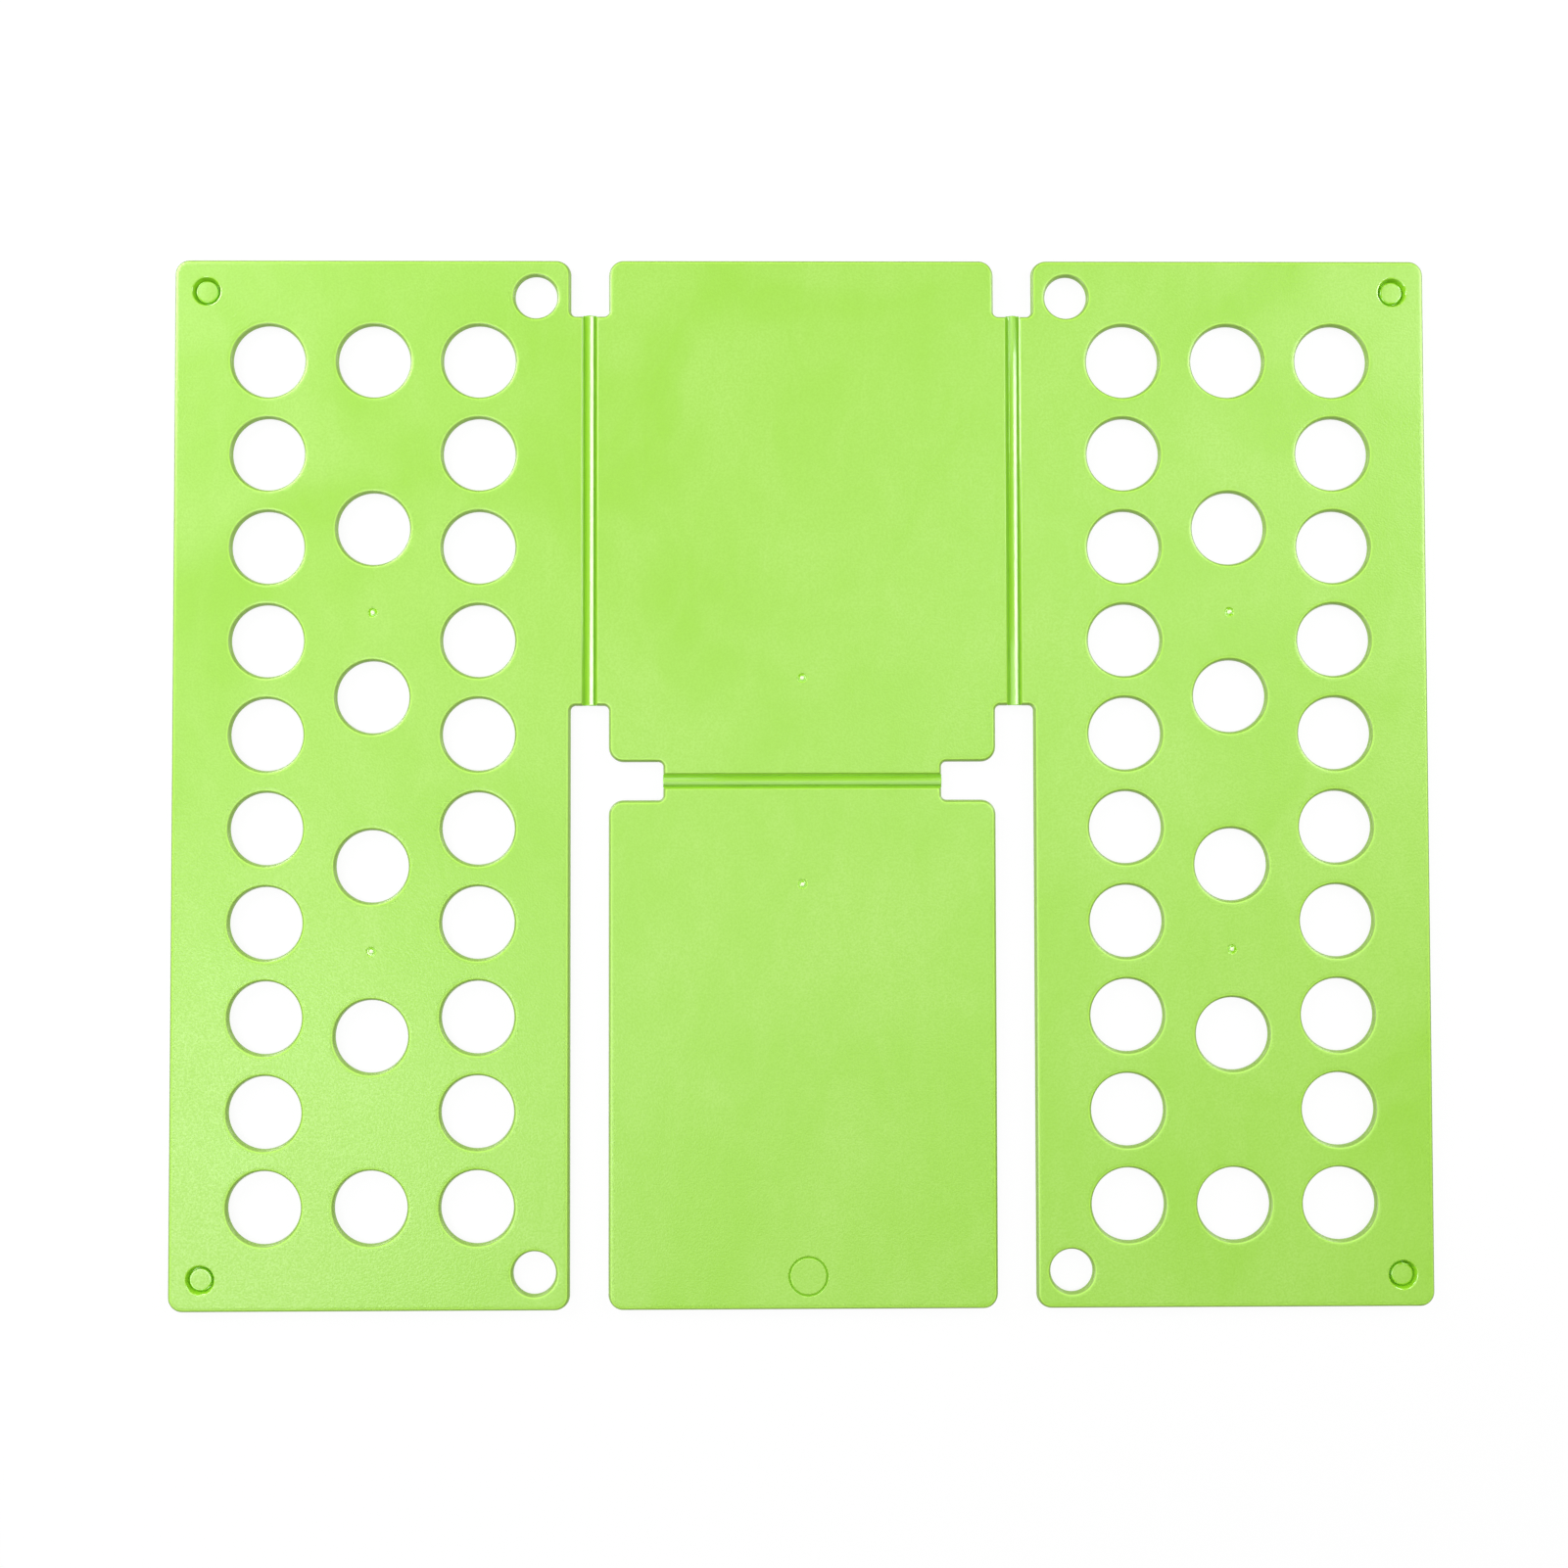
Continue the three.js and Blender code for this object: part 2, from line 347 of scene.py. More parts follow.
def inset_corner(arriving: Vector, leaving: Vector, inset_before: float, inset_after: float) -> Vector:
    """Moves a corner of an outline in, by its own distance from each of its two edges.

    Args:
        arriving: direction of the edge that ends in the corner
        leaving: direction of the edge that starts in it
        inset_before: distance from the arriving edge
        inset_after: distance from the leaving edge

    Returns:
        The move from the corner.
    """
    first = Vector((-arriving.y, arriving.x))
    second = Vector((-leaving.y, leaving.x))
    turn = first.x * second.y - first.y * second.x
    straight = 1e-6
    if abs(turn) < straight:
        return (first + second).normalized() * inset_before
    return Vector((
        (inset_before * second.y - inset_after * first.y) / turn,
        (first.x * inset_after - second.x * inset_before) / turn,
    ))


class PlateMesh:
    """Closed mesh of one moulded plate, grown row by row from its outline, holes and marks."""

    def __init__(self, form: EdgeForm) -> None:
        """Starts an empty plate.

        Args:
            form: section of its edges
        """
        self.form = form
        self.mesh = bmesh.new()
        self.rims: dict[Face, list[list[bmesh.types.BMVert]]] = {face: [] for face in Face}

    def row(self, places: Iterable[Vector], height: float) -> list[bmesh.types.BMVert]:
        """Adds a closed row of points, given in plan, at one height."""
        return [self.mesh.verts.new((place.x, place.y, height)) for place in places]

    def skin(
        self,
        upper: Sequence[bmesh.types.BMVert],
        lower: Sequence[bmesh.types.BMVert],
        skins: Sequence[Skin],
    ) -> None:
        """Joins two rows with faces.

        Args:
            upper: the first row
            lower: the second row
            skins: the finish of each face
        """
        count = len(upper)
        for index in range(count):
            after = (index + 1) % count
            face = self.mesh.faces.new((upper[index], lower[index], lower[after], upper[after]))
            face.material_index = skins[index].value

    def wall(self, rows: Sequence[Sequence[bmesh.types.BMVert]], skins: Sequence[Skin]) -> None:
        """Joins many rows from the bed to the underside, and keeps the first and last for close.

        Args:
            rows: the rows
            skins: the finish of each face between two rows, below the bands of the lip
        """
        grained = [Skin.GRAINED] * len(skins)
        for band, (upper, lower) in enumerate(zip(rows, rows[1:])):
            self.skin(upper, lower, skins if band >= self.form.lip_bands else grained)
        self.rims[Face.BED].append(list(rows[0]))
        self.rims[Face.UNDERSIDE].append(list(rows[-1]))

    def outline(self, points: Sequence[OutlinePoint]) -> None:
        """Adds the plate's outer wall.

        Args:
            points: the outline against the clock
        """
        insets = {edge: self.form.insets(edge) for edge in Edge}
        count = len(points)
        rows = []
        for level, height in enumerate(self.form.heights()):
            places = []
            for index, point in enumerate(points):
                before = points[index - 1]
                after = points[(index + 1) % count]
                move = inset_corner(
                    (point.place - before.place).normalized(),
                    (after.place - point.place).normalized(),
                    insets[before.edge][level],
                    insets[point.edge][level],
                )
                places.append(point.place + move)
            rows.append(self.row(places, height))
        self.wall(rows, [Skin.POLISHED if p.edge is Edge.NOSE else Skin.GRAINED for p in points])

    def hole(self, centre: Vector, radius: float, facets: int) -> None:
        """Adds a round through hole with rounded rims.

        Args:
            centre: its middle
            radius: its radius between the rims
            facets: points around it
        """
        rows = [
            self.row(circle(centre, radius + inset, facets), height)
            for inset, height in zip(self.form.insets(Edge.RIM), self.form.heights())
        ]
        self.wall(rows, [Skin.GRAINED] * facets)

    def turned(
        self,
        centre: Vector,
        profile: Sequence[TurnedRow],
        facets: int,
        face: Face,
    ) -> None:
        """Adds a round form that closes on its own axis, such as a cup, a foot or a gate mark.

        Args:
            centre: place of its axis
            profile: radius, height and finish further in, for each row from the plate's face to
                the axis
            facets: points around it
            face: the face of the plate that it belongs to
        """
        rows = [self.row(circle(centre, radius, facets), height) for radius, height, _ in profile[:-1]]
        for (_, _, finish), upper, lower in zip(profile, rows, rows[1:]):
            self.skin(upper, lower, [finish] * facets)
        tip = self.mesh.verts.new((centre.x, centre.y, profile[-1][1]))
        last = rows[-1]
        for index in range(facets):
            fan = self.mesh.faces.new((last[index], tip, last[(index + 1) % facets]))
            fan.material_index = profile[-1][2].value
        self.rims[face].append(rows[0])

    def close(self) -> None:
        """Fills the bed and the underside between their rims and turns all faces outwards.

        The first rim is the plate's outline. All the others are round, so a triangle with all its
        corners on one of them lies in an opening and is left out.
        """
        inside_of_edges = 1
        merge_distance = 1e-7
        for loops in self.rims.values():
            points = []
            edges = []
            owners = []
            for owner, loop in enumerate(loops):
                start, count = len(points), len(loop)
                edges += [(start + step, start + (step + 1) % count) for step in range(count)]
                points += loop
                owners += [owner] * count
            filled = delaunay_2d_cdt(
                [point.co.xy for point in points], edges, [], inside_of_edges, merge_distance,
            )
            triangles, origins = filled[2], filled[3]
            for triangle in triangles:
                corners = [origins[index][0] for index in triangle]
                touched = {owners[corner] for corner in corners}
                if len(touched) > 1 or 0 in touched:
                    self.mesh.faces.new([points[corner] for corner in corners])
        bmesh.ops.recalc_face_normals(self.mesh, faces=self.mesh.faces)


def circle(centre: Vector, radius: float, facets: int) -> list[Vector]:
    """Gives the points of a circle in plan.

    Args:
        centre: its middle
        radius: its radius
        facets: number of points

    Returns:
        The points against the clock.
    """
    return [
        centre + radius * Vector((math.cos(FULL_TURN * step / facets), math.sin(FULL_TURN * step / facets)))
        for step in range(facets)
    ]


def spread(first: float, last: float, count: int) -> list[float]:
    """Spaces values evenly from first to last.

    Args:
        first: the first value
        last: the last value
        count: how many there are

    Returns:
        The values.
    """
    return [first + (last - first) * index / (count - 1) for index in range(count)]


def placed(name: str, data: bpy.types.ID) -> bpy.types.Object:
    """Adds an object to the scene.

    Args:
        name: its name
        data: its mesh, lamp or camera

    Returns:
        The object.
    """
    made = bpy.data.objects.new(name, data)
    bpy.context.scene.collection.objects.link(made)
    return made


def as_piece(
    name: str,
    mesh: bmesh.types.BMesh,
    materials: Sequence[bpy.types.Material],
    sharp_above: float = math.radians(38),
) -> bpy.types.Object:
    """Turns a finished bmesh into an object with smooth shading between its sharp edges.

    Args:
        name: name of the piece
        mesh: the finished mesh, which is freed
        materials: its material slots
        sharp_above: angle between two faces from which their edge stays sharp

    Returns:
        The new object, in the scene.
    """
    data = bpy.data.meshes.new(name)
    mesh.to_mesh(data)
    mesh.free()
    for material in materials:
        data.materials.append(material)
    data.shade_smooth()
    data.set_sharp_from_angle(angle=sharp_above)
    return placed(name, data)


@dataclass(frozen=True)
class Finishes:
    """The materials that the pieces are dressed in."""

    panel: bpy.types.Material
    polished: bpy.types.Material
    spine: bpy.types.Material
    # Dark, which paints the shade at the bottom of the grooves.
    film: bpy.types.Material
    # Pale finish of the gate stubs: a painted glint.
    painted_glint: bpy.types.Material


def rows_over_edge(
    radius: float, height: float, size: float, skin: Skin, steps: int,
) -> list[TurnedRow]:
    """Rounds the edge where a face ends at a wall that goes down from it.

    Args:
        radius: radius of the wall
        height: height of the face
        size: radius of the rounding
        skin: its finish
        steps: steps of the rounding

    Returns:
        The rows from the face to the wall.
    """
    return [
        (radius + size * left, height - size * gone, skin) for gone, left in quarter_turn(steps)
    ]


def rows_off_wall(
    radius: float, height: float, size: float, rise: float, skin: Skin, steps: int,
) -> list[TurnedRow]:
    """Rounds the place where a wall turns in to a face.

    Args:
        radius: radius of the wall
        height: height of the face
        size: how far in the rounding reaches
        rise: height above the face at which it leaves the wall, negative for a wall below it
        skin: its finish
        steps: steps of the rounding

    Returns:
        The rows from the wall to the face.
    """
    return [
        (radius - size * gone, height + rise * left, skin) for gone, left in quarter_turn(steps)
    ]


@dataclass(frozen=True)
class GateMark:
    """Shallow dish with the rounded stub of the sprue standing in it.

    Args:
        dish_radius: radius of the dish
        dish_depth: its depth
        lip: rounding around the dish
        stub_radius: radius of the stub
        stub_drop: from the bed down to the top of the stub
        stub_round: height of the stub's rounded top
        facets: points around it
        steps: steps of the rounded top
    """

    dish_radius: float = 2.5 * MM
    dish_depth: float = 0.5 * MM
    lip: float = 0.35 * MM
    stub_radius: float = 1.1 * MM
    stub_drop: float = 0.05 * MM
    stub_round: float = 0.3 * MM
    facets: int = 28
    steps: int = 4

    def profile(self, top: float) -> list[TurnedRow]:
        """Gives its rows from the bed to its axis.

        Args:
            top: height of the bed

        Returns:
            The rows of the turned form.
        """
        floor = top - self.dish_depth
        stub = top - self.stub_drop
        dish = [
            (self.dish_radius + 2 * self.lip, top, Skin.GRAINED),
            (self.dish_radius + self.lip, top, Skin.GRAINED),
            (self.dish_radius + self.lip / 3, top - self.lip / 4, Skin.POLISHED),
            (self.dish_radius, top - self.lip, Skin.POLISHED),
            (self.dish_radius - self.lip / 2, floor, Skin.POLISHED),
            (self.stub_radius + self.lip / 2, floor, Skin.POLISHED),
            # The stub takes the pale finish, a painted glint.
            (self.stub_radius, floor + self.lip / 3, Skin.PAINTED_GLINT),
        ]
        dome = rows_off_wall(
            self.stub_radius, stub, self.stub_radius, -self.stub_round, Skin.PAINTED_GLINT, self.steps,
        )
        return [*dish, *dome]


@dataclass(frozen=True)
class RingMark:
    """Round witness line that the end of a mould insert leaves in the bed.

    Args:
        radius: to the middle of the line
        width: across the line
        depth: depth of the line
        lip: width of each of its rounded edges
        facets: points around it
    """

    radius: float = 10.45 * MM
    width: float = 1.2 * MM
    depth: float = 0.3 * MM
    lip: float = 0.25 * MM
    facets: int = 72

    def profile(self, top: float) -> list[TurnedRow]:
        """Gives its rows from outside the line to the axis.

        Args:
            top: height of the bed

        Returns:
            The rows of the turned form.
        """
        outer = self.radius + self.width / 2
        inner = self.radius - self.width / 2
        floor = top - self.depth
        return [
            (outer + 2 * self.lip, top, Skin.GRAINED),
            (outer + self.lip, top, Skin.GRAINED),
            # The line's sides and floor take the dark web finish: painted shade in the line.
            (outer, top - self.lip / 3, Skin.DEEP),
            (outer - self.lip, floor, Skin.DEEP),
            (inner + self.lip, floor, Skin.DEEP),
            (inner, top - self.lip / 3, Skin.GRAINED),
            (inner - self.lip, top, Skin.GRAINED),
            (inner - 2 * self.lip, top, Skin.GRAINED),
            (0.0, top, Skin.GRAINED),
        ]


@dataclass(frozen=True)
class HollowFoot:
    """Foot under a flap's outer corner, hollow from above.

    Args:
        mouth_radius: radius of the cup's mouth
        draft: how much the cup narrows down to its floor
        floor: height of the cup's floor
        mouth_lip: rounding of the mouth
        floor_fillet: rounding between wall and floor
        pad_radius: radius of the pad that stands on the cup's floor
        pad_drop: from the bed down to the edge of the pad
        pad_edge: rounding of the pad
        pad_shares: rows of the pad's top, in shares of its flat radius
        crown: how much the pad's middle stands up
        wall: thickness outside the mouth
        chamfer: rounding around the sole
        root_fillet: rounding between foot and underside
        facets: points around it
        steps: steps of each rounding
    """

    mouth_radius: float = 7.7 * MM
    draft: float = 1.0 * MM
    floor: float = 1.6 * MM
    mouth_lip: float = 0.8 * MM
    floor_fillet: float = 0.4 * MM
    pad_radius: float = 6.1 * MM
    pad_drop: float = 1.2 * MM
    pad_edge: float = 0.5 * MM
    pad_shares: tuple[float, ...] = (0.95, 0.7, 0.45, 0.2, 0.0)
    crown: float = 0.15 * MM
    wall: float = 1.8 * MM
    chamfer: float = 0.6 * MM
    root_fillet: float = 0.5 * MM
    facets: int = 56
    steps: int = 4

    def cup(self, top: float) -> list[TurnedRow]:
        """Gives the cup's rows from the bed to its axis.

        Args:
            top: height of the bed

        Returns:
            The rows of the turned form.
        """
        skin, steps = Skin.POLISHED, self.steps
        foot_radius = self.mouth_radius - self.draft
        fillet_size = self.floor_fillet
        brow = top - self.pad_drop
        pad_flat = self.pad_radius - self.pad_edge
        return [
            (self.mouth_radius + HOLD_SHARE * self.mouth_lip, top, Skin.GRAINED),
            *rows_over_edge(self.mouth_radius, top, self.mouth_lip, skin, steps),
            *rows_off_wall(foot_radius, self.floor, fillet_size, fillet_size, skin, steps),
            (self.pad_radius, self.floor, skin),
            *rows_off_wall(self.pad_radius, brow, self.pad_edge, -self.pad_edge, skin, steps),
            *(
                (pad_flat * share, brow + self.crown * (1 - share * share), Skin.GRAINED)
                for share in self.pad_shares
            ),
        ]

    def outside(self, bottom: float) -> list[TurnedRow]:
        """Gives the foot's rows from the underside to its axis.

        Args:
            bottom: height of the plate's underside

        Returns:
            The rows of the turned form.
        """
        skin, steps = Skin.GRAINED, self.steps
        radius = self.mouth_radius + self.wall
        return [
            (radius + HOLD_SHARE * self.root_fillet, bottom, skin),
            *rows_over_edge(radius, bottom, self.root_fillet, skin, steps),
            *rows_off_wall(radius, 0.0, self.chamfer, self.chamfer, skin, steps),
            (radius - HOLD_SHARE * self.chamfer, 0.0, skin),
            (0.0, 0.0, skin),
        ]


@dataclass(frozen=True)
class PanelSizes:
    """Sizes that the panels share.

    Args:
        outer_corner: radius of a panel's outer corners
        notch_fillet: radius where a hinge tongue leaves a panel
        slot_width: open slot between two panels, beside their hinge
        corner_steps: steps along each rounded corner
        gate_from_hinge: from the lower hinge to the gate marks beside it
    """

    outer_corner: float = 8.3 * MM
    notch_fillet: float = 2.8 * MM
    slot_width: float = 21.2 * MM
    corner_steps: int = 12
    gate_from_hinge: float = 57.4 * MM


@dataclass(kw_only=True)
class Plate:
    """A moulded panel of the board.

    Args:
        node: name of its solid
        body: body that it rides on
        form: section of its edges
        sizes: sizes that all panels share
        gate: the mark that its sprue leaves
    """

    node: str
    body: str
    form: EdgeForm
    sizes: PanelSizes = PanelSizes()
    gate: GateMark = GateMark()

    @property
    def top(self) -> float:
        """Height of the bed."""
        return self.form.levels.top

    def corners(self) -> list[Corner]:
        """Gives the panel's outline against the clock."""
        raise NotImplementedError

    def gates(self) -> list[Vector]:
        """Gives the places of the panel's gate marks."""
        raise NotImplementedError

    def details(self, mesh: PlateMesh) -> None:
        """Adds what only this panel has, such as holes, to its mesh."""

    def build(self, finishes: Finishes) -> bpy.types.Object:
        """Makes the panel and puts it in place of its solid.

        Args:
            finishes: the board's materials

        Returns:
            The finished piece.
        """
        mesh = PlateMesh(self.form)
        mesh.outline(rounded_outline(self.corners(), self.sizes.corner_steps))
        for place in self.gates():
            mesh.turned(place, self.gate.profile(self.top), self.gate.facets, Face.BED)
        self.details(mesh)
        mesh.close()
        skins = (finishes.panel, finishes.polished, finishes.film, finishes.painted_glint)
        piece = as_piece(f"moulded_{self.node}", mesh.mesh, skins)
        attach(piece, self.body)
        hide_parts(self.node)
        return piece


@dataclass(kw_only=True)
class CentrePanel(Plate):
    """The bed of the shirt's middle, with a hinge tongue on three sides."""

    node: str = "centre_panel"
    body: str = "centre"

    def corners(self) -> list[Corner]:
        """Gives the panel's outline.

        Returns:
            Its corners, against the clock.
        """
        low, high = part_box(self.node)
        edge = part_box("lower_panel")[1].x
        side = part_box("right_hinge_spine")
        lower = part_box("lower_hinge_spine")
        inner_end = self.sizes.slot_width / 2
        outer, fillet = self.sizes.outer_corner, self.sizes.notch_fillet
        right = [
            Corner(lower[1].x, low.y),
            Corner(lower[1].x, inner_end, fillet),
            Corner(edge, inner_end, outer),
            Corner(edge, side[0].y, fillet),
            Corner(high.x, side[0].y, edge=Edge.NOSE),
            Corner(high.x, side[1].y),
            Corner(edge, side[1].y, fillet),
            Corner(edge, high.y, outer),
        ]
        left = mirrored(right)
        left[-1] = replace(left[-1], edge=Edge.NOSE)
        left[0] = replace(left[0], edge=Edge.RIM)
        return [*right, *left]

    def gates(self) -> list[Vector]:
        """Gives the places of the panel's gate marks."""
        return [Vector((0, self.sizes.gate_from_hinge))]


@dataclass(kw_only=True)
class LowerPanel(Plate):
    """The panel that folds the shirt's lower half up.

    Args:
        ring: round witness mark near its end
        ring_from_end: from the panel's end to the mark's middle
        ring_aside: from the board's middle line to the mark's middle
    """

    node: str = "lower_panel"
    body: str = "lower_panel"
    ring: RingMark = RingMark()
    ring_from_end: float = 18.6 * MM
    ring_aside: float = 2.7 * MM

    def corners(self) -> list[Corner]:
        """Gives the panel's outline.

        Returns:
            Its corners, against the clock.
        """
        low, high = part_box(self.node)
        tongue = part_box("lower_hinge_spine")[1].x
        inner_end = -self.sizes.slot_width / 2
        outer = self.sizes.outer_corner
        right = [
            Corner(high.x, low.y, outer),
            Corner(high.x, inner_end, outer),
            Corner(tongue, inner_end, self.sizes.notch_fillet),
            Corner(tongue, high.y, edge=Edge.NOSE),
        ]
        left = mirrored(right)
        left[0] = replace(left[0], edge=Edge.RIM)
        left[-1] = replace(left[-1], edge=Edge.RIM)
        return [*right, *left]

    def gates(self) -> list[Vector]:
        """Gives the places of the panel's gate marks."""
        return [Vector((0, -self.sizes.gate_from_hinge))]

    def details(self, mesh: PlateMesh) -> None:
        """Adds the ring mark.

        Args:
            mesh: the panel's mesh
        """
        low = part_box(self.node)[0]
        place = Vector((self.ring_aside, low.y + self.ring_from_end))
        mesh.turned(place, self.ring.profile(self.top), self.ring.facets, Face.BED)


@dataclass(kw_only=True)
class Flap(Plate):
    """A side flap with its air holes, hanging holes and hollow feet.

    Args:
        side: 1 for the right flap and -1 for the left one
        air_hole_radius: radius of an air hole
        inner_rim: from the flap's inner edge to the holes beside it
        outer_rim: from the flap's outer edge to the holes beside it
        end_rim: from the flap's end to the holes beside it
        column_rows: holes in each column, from the hinge out
        hanging_radius: radius of the hole in each inner corner
        hanging_from_side: from the flap's inner edge to its middle
        hanging_from_end: from the flap's end to its middle
        foot: the foot under each outer corner
        foot_inset: from the flap's side and end to a foot's middle
        gate_rows: from the end hole of the middle column to a gate mark, in hole spacings
        hole_facets: points around a hole
    """

    side: int = 1
    air_hole_radius: float = 20 * MM
    inner_rim: float = 31.1 * MM
    outer_rim: float = 32.6 * MM
    end_rim: float = 37 * MM
    column_rows: tuple[int, ...] = (10, 6, 10)
    hanging_radius: float = 11.65 * MM
    hanging_from_side: float = 19.5 * MM
    hanging_from_end: float = 20.7 * MM
    foot: HollowFoot = HollowFoot()
    foot_inset: float = 18 * MM
    gate_rows: float = 1.5
    hole_facets: int = 64

    @property
    def inner_edge(self) -> float:
        """Distance from the board's middle line to the flap's inner edge, beside the tongue."""
        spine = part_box("right_hinge_spine")
        return (spine[0].x + spine[1].x) / 2 + self.sizes.slot_width / 2

    @property
    def outer_edge(self) -> float:
        """Distance from the board's middle line to the flap's outer edge."""
        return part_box("right_flap")[1].x

    @property
    def end(self) -> float:
        """Distance from the board's middle to the flap's ends."""
        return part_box("right_flap")[1].y

    def corners(self) -> list[Corner]:
        """Gives the flap's outline.

        Returns:
            Its corners, against the clock.
        """
        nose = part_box("right_flap")[0].x
        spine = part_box("right_hinge_spine")
        outer, fillet = self.sizes.outer_corner, self.sizes.notch_fillet
        right = [
            Corner(self.inner_edge, -self.end, outer),
            Corner(self.outer_edge, -self.end, outer),
            Corner(self.outer_edge, self.end, outer),
            Corner(self.inner_edge, self.end, outer),
            Corner(self.inner_edge, spine[1].y, fillet),
            Corner(nose, spine[1].y, edge=Edge.NOSE),
            Corner(nose, spine[0].y),
            Corner(self.inner_edge, spine[0].y, fillet),
        ]
        return right if self.side > 0 else mirrored(right)

    def columns(self) -> list[float]:
        """Gives the places of the hole columns.

        Returns:
            Their distances from the board's middle line, from the hinge out.
        """
        first = self.inner_edge + self.inner_rim + self.air_hole_radius
        last = self.outer_edge - self.outer_rim - self.air_hole_radius
        return spread(first, last, len(self.column_rows))

    def gates(self) -> list[Vector]:
        """Places the gate marks in the middle column.

        Returns:
            The places of the flap's gate marks.
        """
        middle = len(self.column_rows) // 2
        *_, next_hole, end_hole = self.rows(self.column_rows[middle])
        place = end_hole - self.gate_rows * (end_hole - next_hole)
        across = self.side * self.columns()[middle]
        return [Vector((across, end * place)) for end in (1, -1)]

    def rows(self, count: int) -> list[float]:
        """Gives the places of a column's holes along the flap."""
        last = self.end - self.end_rim - self.air_hole_radius
        return spread(-last, last, count)

    def details(self, mesh: PlateMesh) -> None:
        """Adds the holes, and the cup and sole of each foot.

        Args:
            mesh: the flap's mesh
        """
        for column, count in zip(self.columns(), self.column_rows):
            for row in self.rows(count):
                mesh.hole(Vector((self.side * column, row)), self.air_hole_radius, self.hole_facets)
        hanging_x = self.side * (self.inner_edge + self.hanging_from_side)
        hanging_y = self.end - self.hanging_from_end
        foot_x = self.side * (self.outer_edge - self.foot_inset)
        foot_y = self.end - self.foot_inset
        cup = self.foot.cup(self.top)
        outside = self.foot.outside(self.form.levels.bottom)
        for end in (1, -1):
            mesh.hole(Vector((hanging_x, end * hanging_y)), self.hanging_radius, self.hole_facets)
            corner = Vector((foot_x, end * foot_y))
            mesh.turned(corner, cup, self.foot.facets, Face.BED)
            mesh.turned(corner, outside, self.foot.facets, Face.UNDERSIDE)


@dataclass(frozen=True)
class Crease:
    """One film web of a hinge, and the two bodies that it joins."""

    node: str
    inner_body: str
    outer_body: str


@dataclass
class LivingHinge:
    """A double living hinge: a stiff spine between two film webs.

    Args:
        name: start of its nodes' names
        across: direction from the centre panel to the panel that folds
        spine_body: body of the spine
        outer_body: body of the panel that folds
        crown_pitch: slope of each side of the crown, like a low roof
        crown_round: rounding of the crown's ridge
        crown_steps: steps across the crown
        sharp_above: angle between two faces from which their edge stays sharp, so that the
            spine's shoulders do
        shoulder_rounds: rounds of the search for the crown's shoulder
        end_radius: small rounding at the spine's ends
        end_steps: steps of that rounding
        web_steps: steps across a film web, for its waist
        waist: how much thinner a film web is in its middle, on each side
    """

    name: str
    across: Vector
    spine_body: str
    outer_body: str
    crown_pitch: float = math.radians(14)
    crown_round: float = 0.12 * MM
    crown_steps: int = 14
    sharp_above: float = math.radians(25)
    shoulder_rounds: int = 8
    end_radius: float = 0.25 * MM
    end_steps: int = 3
    web_steps: int = 10
    waist: float = 0.06 * MM

    @property
    def along(self) -> Vector:
        """Direction along the hinge."""
        return self.across.cross(Vector((0, 0, 1)))

    def span(self, node: str, direction: Vector) -> tuple[float, float]:
        """Gives the lowest and the highest place of a node along a direction."""
        ends = [corner.dot(direction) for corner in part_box(node)]
        return min(ends), max(ends)

    def crown_drop(self, aside: float) -> float:
        """Gives how far the crown lies below its ridge, at a distance from the ridge."""
        return math.tan(self.crown_pitch) * (math.hypot(aside, self.crown_round) - self.crown_round)

    def shoulder(self, root: float, height: float) -> float:
        """Finds where the crown meets the flank, which rises at 45 degrees from the film web.

        Args:
            root: half the spine's width at the web
            height: height of the ridge above the web

        Returns:
            The distance of the shoulder from the ridge.
        """
        aside = root - height
        for _ in range(self.shoulder_rounds):
            aside = root - height + self.crown_drop(aside)
        return aside

    def bar(
        self,
        name: str,
        sections: Sequence[tuple[float, Sequence[Vector]]],
        material: bpy.types.Material,
    ) -> bpy.types.Object:
        """Lofts a closed bar along the hinge.

        Args:
            name: name of the piece
            sections: place along the hinge and section (across, up) of each ring
            material: its finish

        Returns:
            The bar.
        """
        mesh = bmesh.new()
        rings = [
            [mesh.verts.new(self.along * place + self.across * p.x + Vector((0, 0, p.y))) for p in section]
            for place, section in sections
        ]
        count = len(rings[0])
        for first, second in zip(rings, rings[1:]):
            for index in range(count):
                after = (index + 1) % count
                mesh.faces.new((first[index], first[after], second[after], second[index]))
        for ring in (rings[0], rings[-1]):
            mesh.faces.new(ring)
        bmesh.ops.recalc_face_normals(mesh, faces=mesh.faces)
        return as_piece(name, mesh, (material,), self.sharp_above)

    def spine(self, levels: PlateLevels, finishes: Finishes) -> bpy.types.Object:
        """Makes the spine, with its low roof of a crown and softened ends.

        Args:
            levels: heights of the plate
            finishes: the board's materials

        Returns:
            The finished piece.
        """
        node = f"{self.name}_spine"
        near, far = self.span(node, self.across)
        start, end = self.span(node, self.along)
        middle = (near + far) / 2
        root = (far - near) / 2
        shoulder = self.shoulder(root, levels.top - levels.film_top)
        heart = Vector((middle, (levels.top + levels.bottom) / 2))
        upper = [
            Vector((middle + root, levels.film_top)),
            *(
                Vector((middle + aside, levels.top - self.crown_drop(aside)))
                for aside in spread(shoulder, -shoulder, self.crown_steps + 1)
            ),
            Vector((middle - root, levels.film_top)),
        ]
        section = [*upper, *(2 * heart - place for place in upper)]
        thickness = levels.top - levels.bottom
        insets = [*quarter_turn(self.end_steps), (2, 0)]
        rings = [(start + self.end_radius * away, shrink) for away, shrink in insets]
        rings += [(end - self.end_radius * away, shrink) for away, shrink in reversed(insets)]
        sections = [
            (
                place,
                [heart + (p - heart) * (1 - 2 * self.end_radius * shrink / thickness) for p in section],
            )
            for place, shrink in rings
        ]
        piece = self.bar(f"moulded_{node}", sections, finishes.spine)
        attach(piece, self.spine_body)
        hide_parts(node)
        return piece

